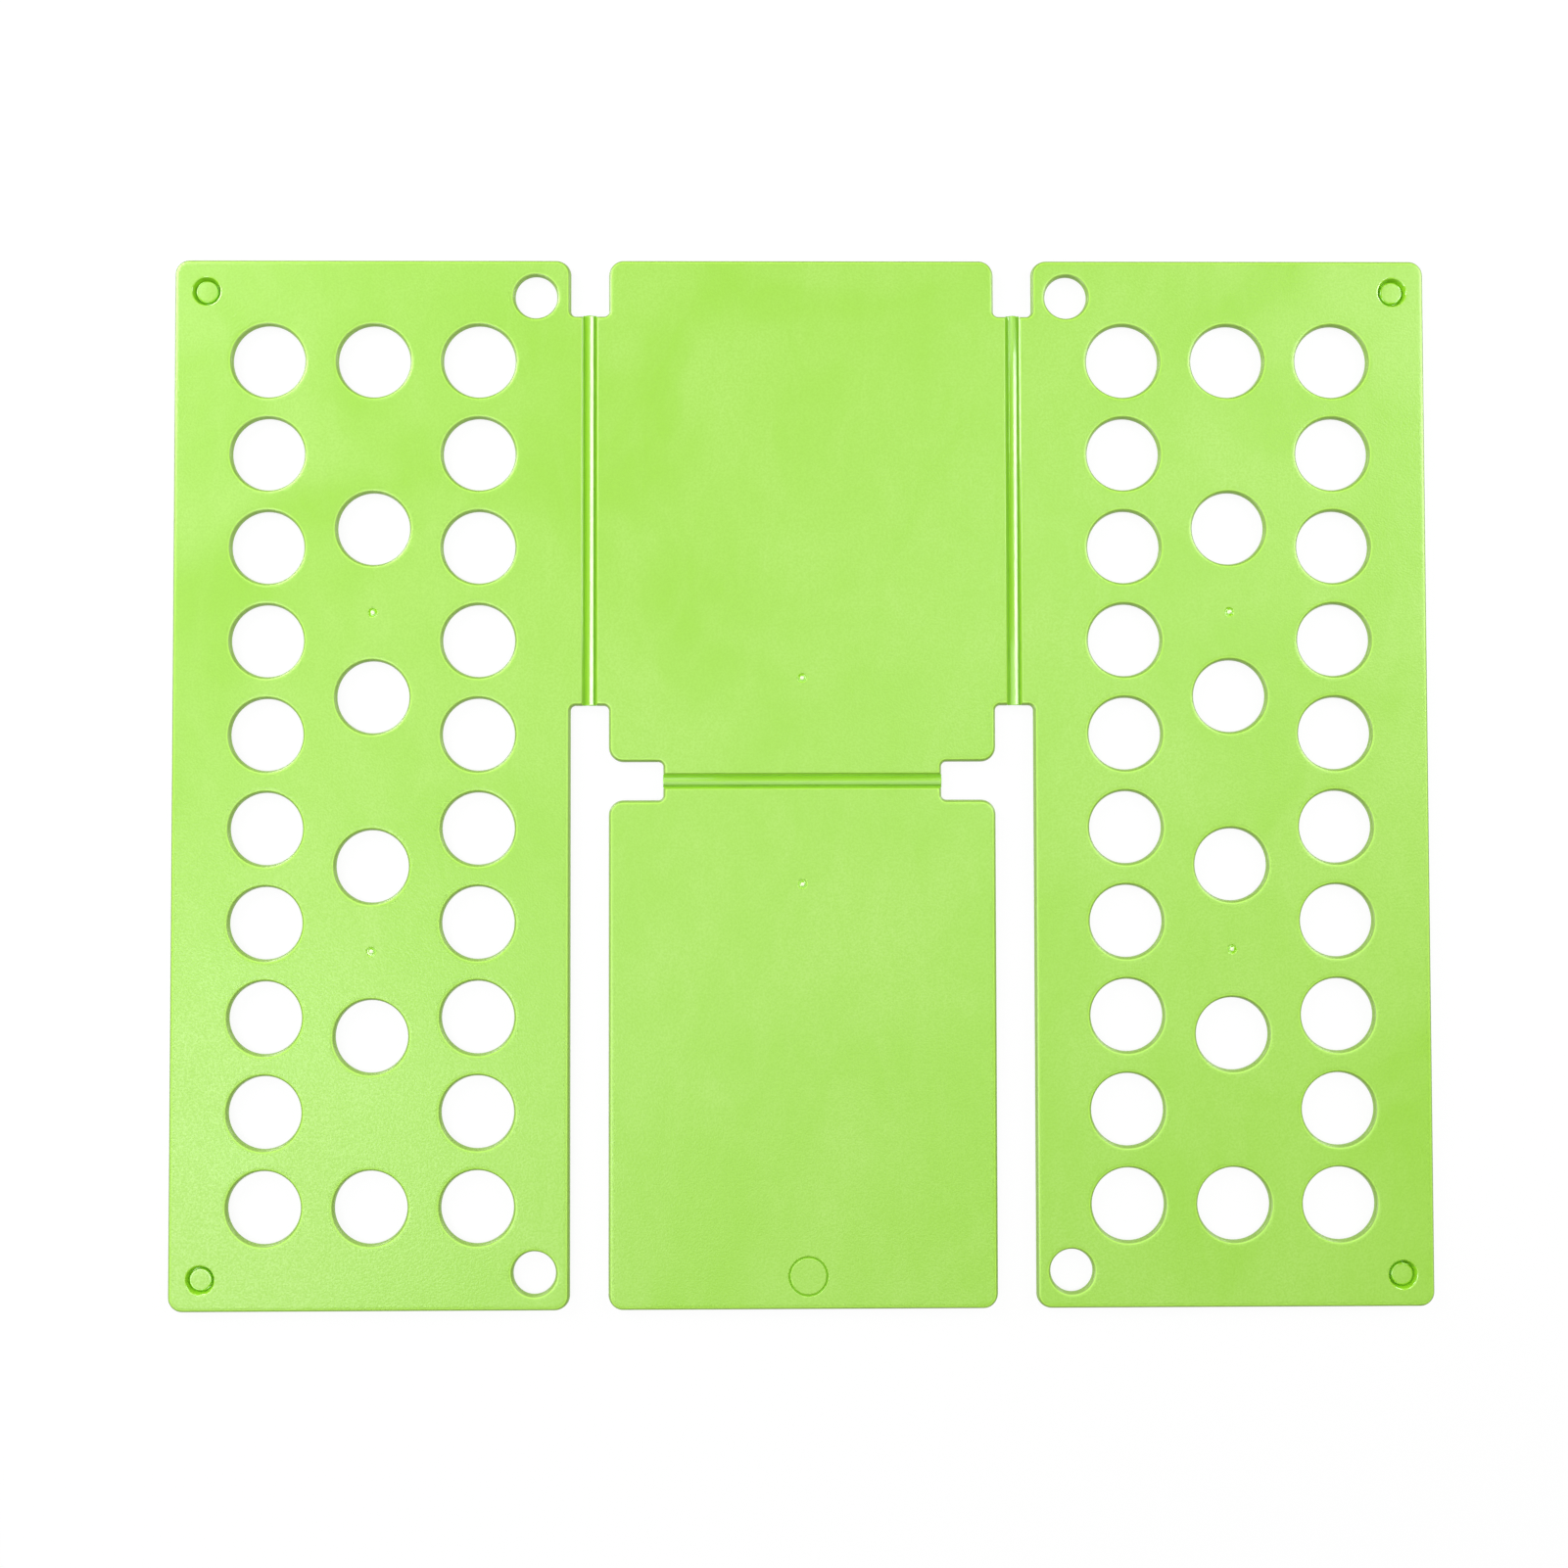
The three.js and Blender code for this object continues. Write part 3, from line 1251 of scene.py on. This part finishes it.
    def web(self, crease: Crease, finishes: Finishes) -> bpy.types.Object:
        """Makes a film web between the two bodies beside it.

        Args:
            crease: the web's node and the bodies that it joins
            finishes: the board's materials

        Returns:
            The finished piece.
        """
        near, far = self.span(crease.node, self.across)
        start, end = self.span(crease.node, self.along)
        low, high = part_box(crease.node)
        rows = [
            (near + (far - near) * share, 4 * self.waist * share * (1 - share))
            for share in spread(0.0, 1.0, self.web_steps + 1)
        ]
        section = [Vector((across, high.z - thinning)) for across, thinning in rows]
        section += [Vector((across, low.z + thinning)) for across, thinning in reversed(rows)]
        piece = self.bar(f"moulded_{crease.node}", [(start, section), (end, section)], finishes.film)
        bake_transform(piece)
        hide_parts(crease.node)
        return piece

    def build(self, levels: PlateLevels, finishes: Finishes) -> list[bpy.types.Object]:
        """Makes the hinge's three pieces.

        Args:
            levels: heights of the plate
            finishes: the board's materials

        Returns:
            The spine and the two webs.
        """
        creases = (
            Crease(f"{self.name}_inner_web", "centre", self.spine_body),
            Crease(f"{self.name}_outer_web", self.spine_body, self.outer_body),
        )
        return [self.spine(levels, finishes), *(self.web(crease, finishes) for crease in creases)]


class NodeSheet:
    """A node tree that nodes are added to and linked in."""

    def __init__(self, tree: bpy.types.NodeTree) -> None:
        """Takes the tree to draw on."""
        self.tree = tree

    def node(self, kind: str, **settings: object) -> bpy.types.Node:
        """Adds a node.

        Args:
            kind: Blender's name of its type
            settings: its properties

        Returns:
            The new node.
        """
        made = self.tree.nodes.new(kind)
        for name, value in settings.items():
            setattr(made, name, value)
        return made

    def feed(self, node: bpy.types.Node, **values: object) -> None:
        """Links or sets a node's inputs, named with underscores for spaces."""
        for name, value in values.items():
            self.put(node.inputs[name.replace("_", " ")], value)

    def put(self, socket: Socket, value: object) -> None:
        """Links or sets one input.

        Args:
            socket: the input
            value: the socket to link it to, or the value to set
        """
        if isinstance(value, bpy.types.NodeSocket):
            self.tree.links.new(value, socket)
        else:
            socket.default_value = value

    def noise(self, **values: object) -> Socket:
        """Adds a noise texture.

        Args:
            values: its inputs

        Returns:
            The socket with its value.
        """
        made = self.node("ShaderNodeTexNoise")
        self.feed(made, **values)
        return made.outputs[0]

    def ramp(self, value: Socket, start: float, end: float, low: float = 0.0) -> Socket:
        """Maps a value smoothly from low at start to 1 at end.

        Args:
            value: socket that gives the value
            start: where the result is low
            end: where the result is 1
            low: the result at start

        Returns:
            The socket with the result.
        """
        made = self.node("ShaderNodeMapRange", interpolation_type="SMOOTHSTEP")
        self.feed(made, Value=value, From_Min=start, From_Max=end, To_Min=low)
        return made.outputs["Result"]

    def between(self, value: Socket, low: float | Socket, high: float | Socket) -> Socket:
        """Maps a value from 0 to 1 evenly to a value from low to high.

        Args:
            value: socket that gives the value
            low: the result at 0
            high: the result at 1

        Returns:
            The socket with the result.
        """
        made = self.node("ShaderNodeMapRange")
        self.feed(made, Value=value, To_Min=low, To_Max=high)
        return made.outputs["Result"]

    def maths(self, operation: str, first: float | Socket, second: float | Socket = 0.0) -> Socket:
        """Does a sum with two values.

        Args:
            operation: Blender's name of the operation
            first: first value
            second: second value

        Returns:
            The socket with the result.
        """
        made = self.node("ShaderNodeMath", operation=operation)
        for socket, value in zip(made.inputs, (first, second)):
            self.put(socket, value)
        return made.outputs["Value"]

    def mixed(self, share: Socket, first: Socket | Colour, second: Socket | Colour) -> Socket:
        """Mixes two colours.

        Args:
            share: share of the second colour
            first: first colour
            second: second colour

        Returns:
            The socket with the mixed colour.
        """
        made = self.node("ShaderNodeMix", data_type="RGBA")
        for socket, value in zip((made.inputs[0], *made.inputs[6:8]), (share, first, second)):
            self.put(socket, value)
        return made.outputs[2]

    def output(self, kind: str, share: Socket, first: Socket, second: Socket) -> None:
        """Sends a mix of two shaders out of the tree.

        Args:
            kind: Blender's name of the output node
            share: share of the second shader
            first: first shader
            second: second shader
        """
        mix = self.node("ShaderNodeMixShader")
        for socket, value in zip(mix.inputs, (share, first, second)):
            self.put(socket, value)
        self.feed(self.node(kind), Surface=mix.outputs["Shader"])


def blank_sheet(owner: bpy.types.Material | bpy.types.World) -> NodeSheet:
    """Empties a node tree to draw on.

    Args:
        owner: the material or world that it belongs to

    Returns:
        Its sheet.
    """
    owner.use_nodes = True
    owner.node_tree.nodes.clear()
    return NodeSheet(owner.node_tree)


class EffectGroup:
    """A shader effect that several finishes share, with named inputs and outputs."""

    def __init__(self, name: str, inputs: dict[str, float], outputs: Sequence[str]) -> None:
        """Makes an empty group.

        Args:
            name: name of the group
            inputs: its inputs, each with its usual value
            outputs: names of its outputs
        """
        self.tree = bpy.data.node_groups.new(name, "ShaderNodeTree")
        for title, value in inputs.items():
            socket = self.tree.interface.new_socket(title, in_out="INPUT", socket_type="NodeSocketFloat")
            socket.default_value = value
        for title in outputs:
            self.tree.interface.new_socket(title, in_out="OUTPUT", socket_type="NodeSocketFloat")
        self.sheet = NodeSheet(self.tree)
        self.entry = self.sheet.node("NodeGroupInput")
        self.exit = self.sheet.node("NodeGroupOutput")

    def place(self, sheet: NodeSheet, **values: float) -> bpy.types.Node:
        """Puts the effect in a material.

        Args:
            sheet: the material's node sheet
            values: its inputs there

        Returns:
            The group's node.
        """
        made = sheet.node("ShaderNodeGroup", node_tree=self.tree)
        sheet.feed(made, **values)
        return made


class PebbleGrain(EffectGroup):
    """Fine moulded grain of two sizes: soft pebbles and a finer stipple over them."""

    pebble_noise = {"Detail": 1.0, "Roughness": 0.55}
    pebble_span = (0.24, 0.76)

    def __init__(self) -> None:
        """Builds the group. Its scales are in grains to a metre."""
        super().__init__(
            "pebble_grain",
            {"Pebble Scale": 850.0, "Stipple Scale": 1500.0, "Stipple Share": 0.35},
            ("Height", "Tone"),
        )
        sheet = self.sheet
        place = sheet.node("ShaderNodeTexCoord").outputs["Object"]
        given = self.entry.outputs
        pebbles = sheet.noise(Vector=place, Scale=given["Pebble Scale"], **self.pebble_noise)
        stipple = sheet.node("ShaderNodeTexVoronoi")
        sheet.feed(stipple, Vector=place, Scale=given["Stipple Scale"])
        soft = sheet.ramp(pebbles, *self.pebble_span)
        fine = sheet.maths("MULTIPLY", stipple.outputs["Distance"], given["Stipple Share"])
        sheet.feed(self.exit, Height=sheet.maths("ADD", soft, fine), Tone=soft)


class FlowMarks(EffectGroup):
    """Faint clouds and streaks that the melt leaves, the streaks drawn out along the board."""

    cloud_noise = {"Detail": 3.0, "Roughness": 0.5, "Distortion": 0.8}
    cloud_span = (0.32, 0.68)
    streak_noise = {"Detail": 4.0, "Roughness": 0.6, "Distortion": 1.6}
    streak_span = (0.35, 0.75)
    streak_draw = (1.0, 0.45, 1.0)

    def __init__(self) -> None:
        """Builds the group. Its scales are in clouds and streaks to a metre."""
        super().__init__("flow_marks", {"Cloud Scale": 9.0, "Streak Scale": 38.0}, ("Cloud", "Streak"))
        sheet = self.sheet
        place = sheet.node("ShaderNodeTexCoord").outputs["Object"]
        given = self.entry.outputs
        drawn_out = sheet.node("ShaderNodeMapping")
        sheet.feed(drawn_out, Vector=place, Scale=self.streak_draw)
        drawn = drawn_out.outputs["Vector"]
        cloud = sheet.noise(Vector=place, Scale=given["Cloud Scale"], **self.cloud_noise)
        streak = sheet.noise(Vector=drawn, Scale=given["Streak Scale"], **self.streak_noise)
        sheet.feed(
            self.exit,
            Cloud=sheet.ramp(cloud, *self.cloud_span),
            Streak=sheet.ramp(streak, *self.streak_span),
        )


class MouldedEdge(EffectGroup):
    """Masks of a moulded plate's edges, from the depth below the bed and the way a face looks.

    Each span says where its mask is 0 and where it is 1: by the depth below the bed, or by how
    level the face is. Round and Crest place painted highlights, and Wall places painted shade.
    """

    below_bed_depths = (0.005 * MM, 0.06 * MM)
    above_wall_depths = (0.45 * MM, 0.2 * MM)
    wall_depths = (0.12 * MM, 0.38 * MM)
    crest_depths = (0.5 * MM, 0.12 * MM)
    tilted_levels = (1.0, 0.96)
    steep_levels = (0.99, 0.93)
    flat_levels = (0.9, 0.99)

    def __init__(self, levels: PlateLevels) -> None:
        """Builds the group.

        Args:
            levels: heights of the plate
        """
        outputs = ("Round", "Wall", "Flat", "Crest")
        super().__init__("moulded_edge", {"Bed Height": levels.top}, outputs)
        sheet = self.sheet
        coordinates = sheet.node("ShaderNodeTexCoord")
        place = sheet.node("ShaderNodeSeparateXYZ")
        sheet.feed(place, Vector=coordinates.outputs["Object"])
        way = sheet.node("ShaderNodeSeparateXYZ")
        sheet.feed(way, Vector=coordinates.outputs["Normal"])
        level = sheet.maths("ABSOLUTE", way.outputs["Z"])
        depth = sheet.maths("SUBTRACT", self.entry.outputs["Bed Height"], place.outputs["Z"])
        below_bed = sheet.ramp(depth, *self.below_bed_depths)
        above_wall = sheet.ramp(depth, *self.above_wall_depths)
        rounding = sheet.maths("MULTIPLY", below_bed, above_wall)
        tilted = sheet.ramp(level, *self.tilted_levels)
        steep = sheet.ramp(level, *self.steep_levels)
        deep = sheet.ramp(depth, *self.wall_depths)
        # Round: painted rim highlight. Wall: painted wall shade. Crest: painted highlight of crowns and
        # lips.
        sheet.feed(
            self.exit,
            Round=sheet.maths("MULTIPLY", rounding, tilted),
            Wall=sheet.maths("MULTIPLY", steep, deep),
            Flat=sheet.ramp(level, *self.flat_levels),
            Crest=sheet.ramp(depth, *self.crest_depths),
        )


@dataclass(frozen=True)
class Effects:
    """The shader effects that the finishes share."""

    grain: PebbleGrain
    flow: FlowMarks
    edge: MouldedEdge


def new_material(name: str) -> tuple[bpy.types.Material, NodeSheet, bpy.types.Node]:
    """Makes an empty material with a Principled shader.

    Args:
        name: name of the material

    Returns:
        The material, its node sheet and the shader.
    """
    material = bpy.data.materials.new(name)
    sheet = blank_sheet(material)
    shader = sheet.node("ShaderNodeBsdfPrincipled")
    sheet.feed(sheet.node("ShaderNodeOutputMaterial"), Surface=shader.outputs["BSDF"])
    return material, sheet, shader


@dataclass(frozen=True)
class PebbledPlastic:
    """Satin polypropylene with a fine pebble grain, polished rims with a painted highlight, and painted
    shade on its walls.

    Args:
        base: colour of the bed
        pale: colour of the palest clouds of the melt
        rim: painted highlight of the rounded rims, a lighter colour than the bed
        wall: painted shade of the upright walls, a darker colour than the bed
        pebble: colour of the grain's pebbles, a little deeper
        cloud_share: most that the clouds take
        streak_share: most that the streaks take
        grain_tone: how much the grain shows in the colour
        cloud_gloss: share of the clouds, against the grain, in how dull the surface is
        rough_low: roughness between the pebbles in the clearest parts
        rough_high: roughness of the pebbles in the palest clouds
        smooth: roughness of the rims and walls
        refraction: refractive index of the plastic
        sheen: level of its reflection
        grain_height: height of the grain
    """

    base: Colour = (0.318, 0.645, 0.050, 1.0)
    pale: Colour = (0.386, 0.690, 0.108, 1.0)
    # Painted highlight of the rounded rims.
    rim: Colour = (0.470, 0.860, 0.100, 1.0)
    # Painted shade of the upright walls.
    wall: Colour = (0.250, 0.430, 0.065, 1.0)
    pebble: Colour = (0.290, 0.595, 0.042, 1.0)
    cloud_share: float = 0.7
    streak_share: float = 0.35
    grain_tone: float = 0.55
    cloud_gloss: float = 0.45
    rough_low: float = 0.31
    rough_high: float = 0.5
    smooth: float = 0.36
    refraction: float = 1.49
    sheen: float = 0.78
    grain_height: float = 0.045 * MM

    def make(self, effects: Effects) -> bpy.types.Material:
        """Builds the material.

        Args:
            effects: the shared shader effects

        Returns:
            The finished material.
        """
        material, sheet, shader = new_material("panel_plastic")
        edge = effects.edge.place(sheet)
        grain = effects.grain.place(sheet)
        flow = effects.flow.place(sheet)
        cloud = sheet.maths("MULTIPLY", flow.outputs["Cloud"], self.cloud_share)
        streak = sheet.maths("MULTIPLY", flow.outputs["Streak"], self.streak_share)
        grained = sheet.maths("MULTIPLY", grain.outputs["Tone"], edge.outputs["Flat"])
        pebbles = sheet.maths("MULTIPLY", grained, self.grain_tone)
        colour = sheet.mixed(sheet.maths("ADD", cloud, streak), self.base, self.pale)
        colour = sheet.mixed(pebbles, colour, self.pebble)
        # Painted highlight on the rounded rims, where the Round mask is.
        colour = sheet.mixed(edge.outputs["Round"], colour, self.rim)
        # Painted shade on the upright walls, where the Wall mask is.
        colour = sheet.mixed(edge.outputs["Wall"], colour, self.wall)
        clouded = sheet.maths("MULTIPLY", flow.outputs["Cloud"], self.cloud_gloss)
        pebbled = sheet.maths("MULTIPLY", grain.outputs["Tone"], 1 - self.cloud_gloss)
        dull = sheet.maths("ADD", clouded, pebbled)
        satin = sheet.between(dull, self.rough_low, self.rough_high)
        bump = sheet.node("ShaderNodeBump")
        relief = sheet.maths("MULTIPLY", grain.outputs["Height"], edge.outputs["Flat"])
        sheet.feed(bump, Height=relief, Strength=1.0, Distance=self.grain_height)
        sheet.feed(
            shader,
            Base_Color=colour,
            Roughness=sheet.between(edge.outputs["Flat"], self.smooth, satin),
            IOR=self.refraction,
            Specular_IOR_Level=self.sheen,
            Normal=bump.outputs["Normal"],
        )
        return material


@dataclass(frozen=True)
class PolishedPlastic:
    """Smooth glossy polypropylene where the mould is polished, in the colours of the spines.

    Args:
        name: name of the material
        base: its colour
        deep: its colour where the melt is denser
        crest: painted highlight, a paler colour on crowns and lips near the bed's height
        cloud_share: most that the denser colour takes
        gloss_low: roughness where it is smoothest
        gloss_high: roughness where it is dullest
        sheen: level of its reflection
        coat: share of the clear gloss on top
        refraction: refractive index of the plastic
        ripple: height of the faint ripples of its surface
        cloud_scale: clouds to a metre
        streak_scale: streaks to a metre
        ripple_scale: ripples to a metre
        stipple_share: share of the finer stipple in the ripples
    """

    name: str = "hinge_plastic"
    # The spine's colours. Its base is the plastic's own green, made deeper than the bed as painted shade of
    # the grooves its flanks stand in.
    base: Colour = (0.215, 0.52, 0.016, 1.0)
    deep: Colour = (0.18, 0.46, 0.012, 1.0)
    crest: Colour = (0.31, 0.66, 0.050, 1.0)
    cloud_share: float = 0.4
    gloss_low: float = 0.10
    gloss_high: float = 0.16
    sheen: float = 0.9
    coat: float = 0.6
    refraction: float = 1.49
    ripple: float = 0.004 * MM
    cloud_scale: float = 30.0
    streak_scale: float = 90.0
    ripple_scale: float = 260.0
    stipple_share: float = 0.1

    def make(self, effects: Effects) -> bpy.types.Material:
        """Builds the material.

        Args:
            effects: the shared shader effects

        Returns:
            The finished material.
        """
        material, sheet, shader = new_material(self.name)
        flow = effects.flow.place(
            sheet, Cloud_Scale=self.cloud_scale, Streak_Scale=self.streak_scale,
        )
        grain = effects.grain.place(
            sheet, Pebble_Scale=self.ripple_scale, Stipple_Share=self.stipple_share,
        )
        edge = effects.edge.place(sheet)
        share = sheet.maths("MULTIPLY", flow.outputs["Cloud"], self.cloud_share)
        colour = sheet.mixed(share, self.base, self.deep)
        # Painted highlight on crowns and lips, where the Crest mask is.
        colour = sheet.mixed(edge.outputs["Crest"], colour, self.crest)
        bump = sheet.node("ShaderNodeBump")
        sheet.feed(bump, Height=grain.outputs["Height"], Strength=1.0, Distance=self.ripple)
        sheet.feed(
            shader,
            Base_Color=colour,
            Roughness=sheet.between(flow.outputs["Streak"], self.gloss_low, self.gloss_high),
            IOR=self.refraction,
            Specular_IOR_Level=self.sheen,
            Coat_Weight=self.coat,
            Normal=bump.outputs["Normal"],
        )
        return material


@dataclass(frozen=True)
class Lamp:
    """A soft area light.

    Args:
        name: its name
        place: its middle
        aim: the point that it faces
        width: its size along the floor
        length: its size across that
        power: its power in watts
    """

    name: str
    place: tuple[float, float, float]
    aim: tuple[float, float, float]
    width: float
    length: float
    power: float

    def build(self) -> bpy.types.Object:
        """Makes the lamp and turns it towards its aim.

        Returns:
            The lamp.
        """
        data = bpy.data.lights.new(self.name, "AREA")
        data.shape = "RECTANGLE"
        data.size = self.width
        data.size_y = self.length
        data.energy = self.power
        lamp = placed(self.name, data)
        lamp.location = self.place
        direction = Vector(self.aim) - Vector(self.place)
        lamp.rotation_euler = direction.to_track_quat("-Z", "Y").to_euler()
        return lamp


@dataclass(frozen=True)
class Studio:
    """Camera, lamps, floor and surroundings.

    Args:
        camera_place: the camera, above the middle of the board
        camera_turn: its turn about X, Y and Z, in degrees
        focal_length: of its lens, in millimetres on the sensor below
        sensor: width of its square frame, in millimetres
        floor_side: side of the floor
        floor_gap: by which the floor lies below the soles, so that the two faces don't coincide
        floor_glow: share of the floor's white near the board that doesn't depend on the lamps
        shade_reach: distance from the board's middle to where that share starts to grow
        white_reach: distance at which the floor is white whatever the lamps do
        floor_colour: colour of the lit share
        sky: strength of the plain surroundings
        lamps: the soft lights
    """

    camera_place: tuple[float, float, float] = (-0.0156, -0.01538, 0.7)
    camera_turn: tuple[float, float, float] = (1.126, -0.439, -0.119)
    focal_length: float = 28.723
    sensor: float = 36.0
    floor_side: float = 8.0
    floor_gap: float = 0.05 * MM
    floor_glow: float = 0.92
    shade_reach: float = 0.8
    white_reach: float = 2.2
    floor_colour: Colour = (0.9, 0.9, 0.9, 1.0)
    sky: float = 0.05
    lamps: tuple[Lamp, ...] = (
        Lamp("overhead_softbox", (0.1, -0.45, 2.0), (0.1, -0.45, 0.0), 1.85, 1.6, 12.4),
        Lamp("hem_softbox", (-1.35, -0.75, 2.0), (-0.25, -0.1, 0.0), 1.1, 1.1, 23.5),
        Lamp("collar_softbox", (-0.7, 1.3, 2.0), (-0.2, 0.2, 0.0), 0.9, 0.7, 3.6),
        Lamp("left_side_lamp", (-1.45, 1.0, 0.75), (-0.2, 0.1, 0.0), 0.9, 0.9, 25.0),
        Lamp("right_side_lamp", (1.55, 0.7, 0.75), (0.3, 0.0, 0.0), 0.9, 0.9, 18.5),
        Lamp("left_spine_strip", (0.52, 0.635, 1.95), (-0.118, 0.635, 0.0), 0.98, 0.17, 5.1),
        Lamp("right_spine_strip", (1.61, 0.635, 1.95), (0.118, 0.635, 0.0), 0.98, 0.18, 5.1),
    )

    def camera(self) -> None:
        """Makes the camera and gives it to the scene."""
        data = bpy.data.cameras.new("camera")
        data.sensor_fit = "HORIZONTAL"
        data.sensor_width = self.sensor
        data.lens = self.focal_length
        camera = placed("camera", data)
        camera.location = self.camera_place
        camera.rotation_euler = [math.radians(turn) for turn in self.camera_turn]
        bpy.context.scene.camera = camera

    def floor(self) -> None:
        """Makes the white floor, which keeps a faint shadow of the board and has no visible end."""
        mesh = bmesh.new()
        bmesh.ops.create_grid(mesh, x_segments=2, y_segments=2, size=self.floor_side / 2)
        material = bpy.data.materials.new("white_floor")
        sheet = blank_sheet(material)
        diffuse = sheet.node("ShaderNodeBsdfDiffuse")
        sheet.feed(diffuse, Color=self.floor_colour)
        glow = sheet.node("ShaderNodeEmission")
        sheet.feed(glow, Strength=1.0)
        rays = sheet.node("ShaderNodeLightPath")
        seen = sheet.maths("MAXIMUM", rays.outputs["Is Camera Ray"], rays.outputs["Is Glossy Ray"])
        seen = sheet.maths("MAXIMUM", seen, rays.outputs["Is Transmission Ray"])
        distance = sheet.node("ShaderNodeVectorMath", operation="LENGTH")
        sheet.feed(distance, Vector=sheet.node("ShaderNodeTexCoord").outputs["Object"])
        away = sheet.ramp(
            distance.outputs["Value"], self.shade_reach, self.white_reach, self.floor_glow,
        )
        sheet.output(
            "ShaderNodeOutputMaterial",
            sheet.maths("MULTIPLY", seen, away),
            diffuse.outputs["BSDF"],
            glow.outputs["Emission"],
        )
        floor = as_piece("white_floor", mesh, (material,))
        floor.location.z = -self.floor_gap

    def surroundings(self) -> None:
        """Lights the scene evenly from all around, and shows white where the floor ends."""
        world = bpy.data.worlds.new("studio")
        sheet = blank_sheet(world)
        lit, white = (sheet.node("ShaderNodeBackground") for _ in range(2))
        sheet.feed(lit, Color=WHITE, Strength=self.sky)
        sheet.feed(white, Color=WHITE, Strength=1.0)
        rays = sheet.node("ShaderNodeLightPath")
        sheet.output(
            "ShaderNodeOutputWorld",
            rays.outputs["Is Camera Ray"],
            lit.outputs["Background"],
            white.outputs["Background"],
        )
        bpy.context.scene.world = world

    def build(self) -> None:
        """Sets up the whole studio."""
        bpy.context.scene.view_settings.view_transform = "Standard"
        self.camera()
        self.floor()
        self.surroundings()
        for lamp in self.lamps:
            lamp.build()


class FoldingBoard:
    """The whole board, in the order in which its pieces are made."""

    def __init__(self) -> None:
        """Reads the board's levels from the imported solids."""
        self.levels = PlateLevels.from_frame()
        self.form = EdgeForm(self.levels)

    def finishes(self) -> Finishes:
        """Builds the shared effects and the materials.

        Returns:
            The materials of the board.
        """
        effects = Effects(PebbleGrain(), FlowMarks(), MouldedEdge(self.levels))
        # Noses, cup walls and gate dishes. Their paler crest colour is a painted highlight on the lips.
        polished = PolishedPlastic(
            name="polished_plastic",
            base=(0.30, 0.68, 0.022, 1.0),
            deep=(0.25, 0.60, 0.016, 1.0),
            crest=(0.38, 0.76, 0.060, 1.0),
        )
        # Film webs: their dark colour is painted shade at the bottom of the grooves.
        film = PolishedPlastic(
            name="web_plastic",
            base=(0.18, 0.46, 0.009, 1.0),
            deep=(0.15, 0.40, 0.007, 1.0),
            crest=(0.18, 0.46, 0.009, 1.0),
            gloss_low=0.34,
            gloss_high=0.46,
            sheen=0.3,
            coat=0.0,
        )
        # Pale finish of the gate stubs: a painted glint, paler still at its crest.
        painted_glint = PolishedPlastic(
            name="painted_glint_plastic",
            base=(0.70, 0.88, 0.46, 1.0),
            deep=(0.58, 0.82, 0.32, 1.0),
            crest=(0.76, 0.90, 0.56, 1.0),
            gloss_low=0.3,
            gloss_high=0.5,
            coat=0.0,
            ripple=0.03 * MM,
        )
        return Finishes(
            panel=PebbledPlastic().make(effects),
            polished=polished.make(effects),
            # The spine: deeper green with painted groove shade, and a painted highlight on its crown.
            spine=PolishedPlastic().make(effects),
            film=film.make(effects),
            painted_glint=painted_glint.make(effects),
        )

    def panels(self) -> list[Plate]:
        """Lists the four panels.

        Returns:
            The panels, in the order in which they are made.
        """
        return [
            CentrePanel(form=self.form),
            LowerPanel(form=self.form),
            Flap(node="left_flap", body="left_flap", form=self.form, side=-1),
            Flap(node="right_flap", body="right_flap", form=self.form, side=1),
        ]

    def hinges(self) -> list[LivingHinge]:
        """Lists the three hinges.

        Returns:
            The hinges, in the order in which they are made.
        """
        return [
            LivingHinge("left_hinge", Vector((-1, 0, 0)), "left_spine", "left_flap"),
            LivingHinge("right_hinge", Vector((1, 0, 0)), "right_spine", "right_flap"),
            LivingHinge("lower_hinge", Vector((0, -1, 0)), "lower_spine", "lower_panel"),
        ]

    def build(self) -> None:
        """Makes and dresses every piece."""
        finishes = self.finishes()
        pieces = [panel.build(finishes) for panel in self.panels()]
        for hinge in self.hinges():
            pieces += hinge.build(self.levels, finishes)
        for piece in pieces:
            log.info("%s: %d faces", piece.name, len(piece.data.polygons))


def main() -> None:
    """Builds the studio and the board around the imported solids."""
    logging.basicConfig(level=logging.INFO, format="%(name)s: %(message)s")
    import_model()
    Studio().build()
    FoldingBoard().build()


if __name__ == "__main__":
    main()
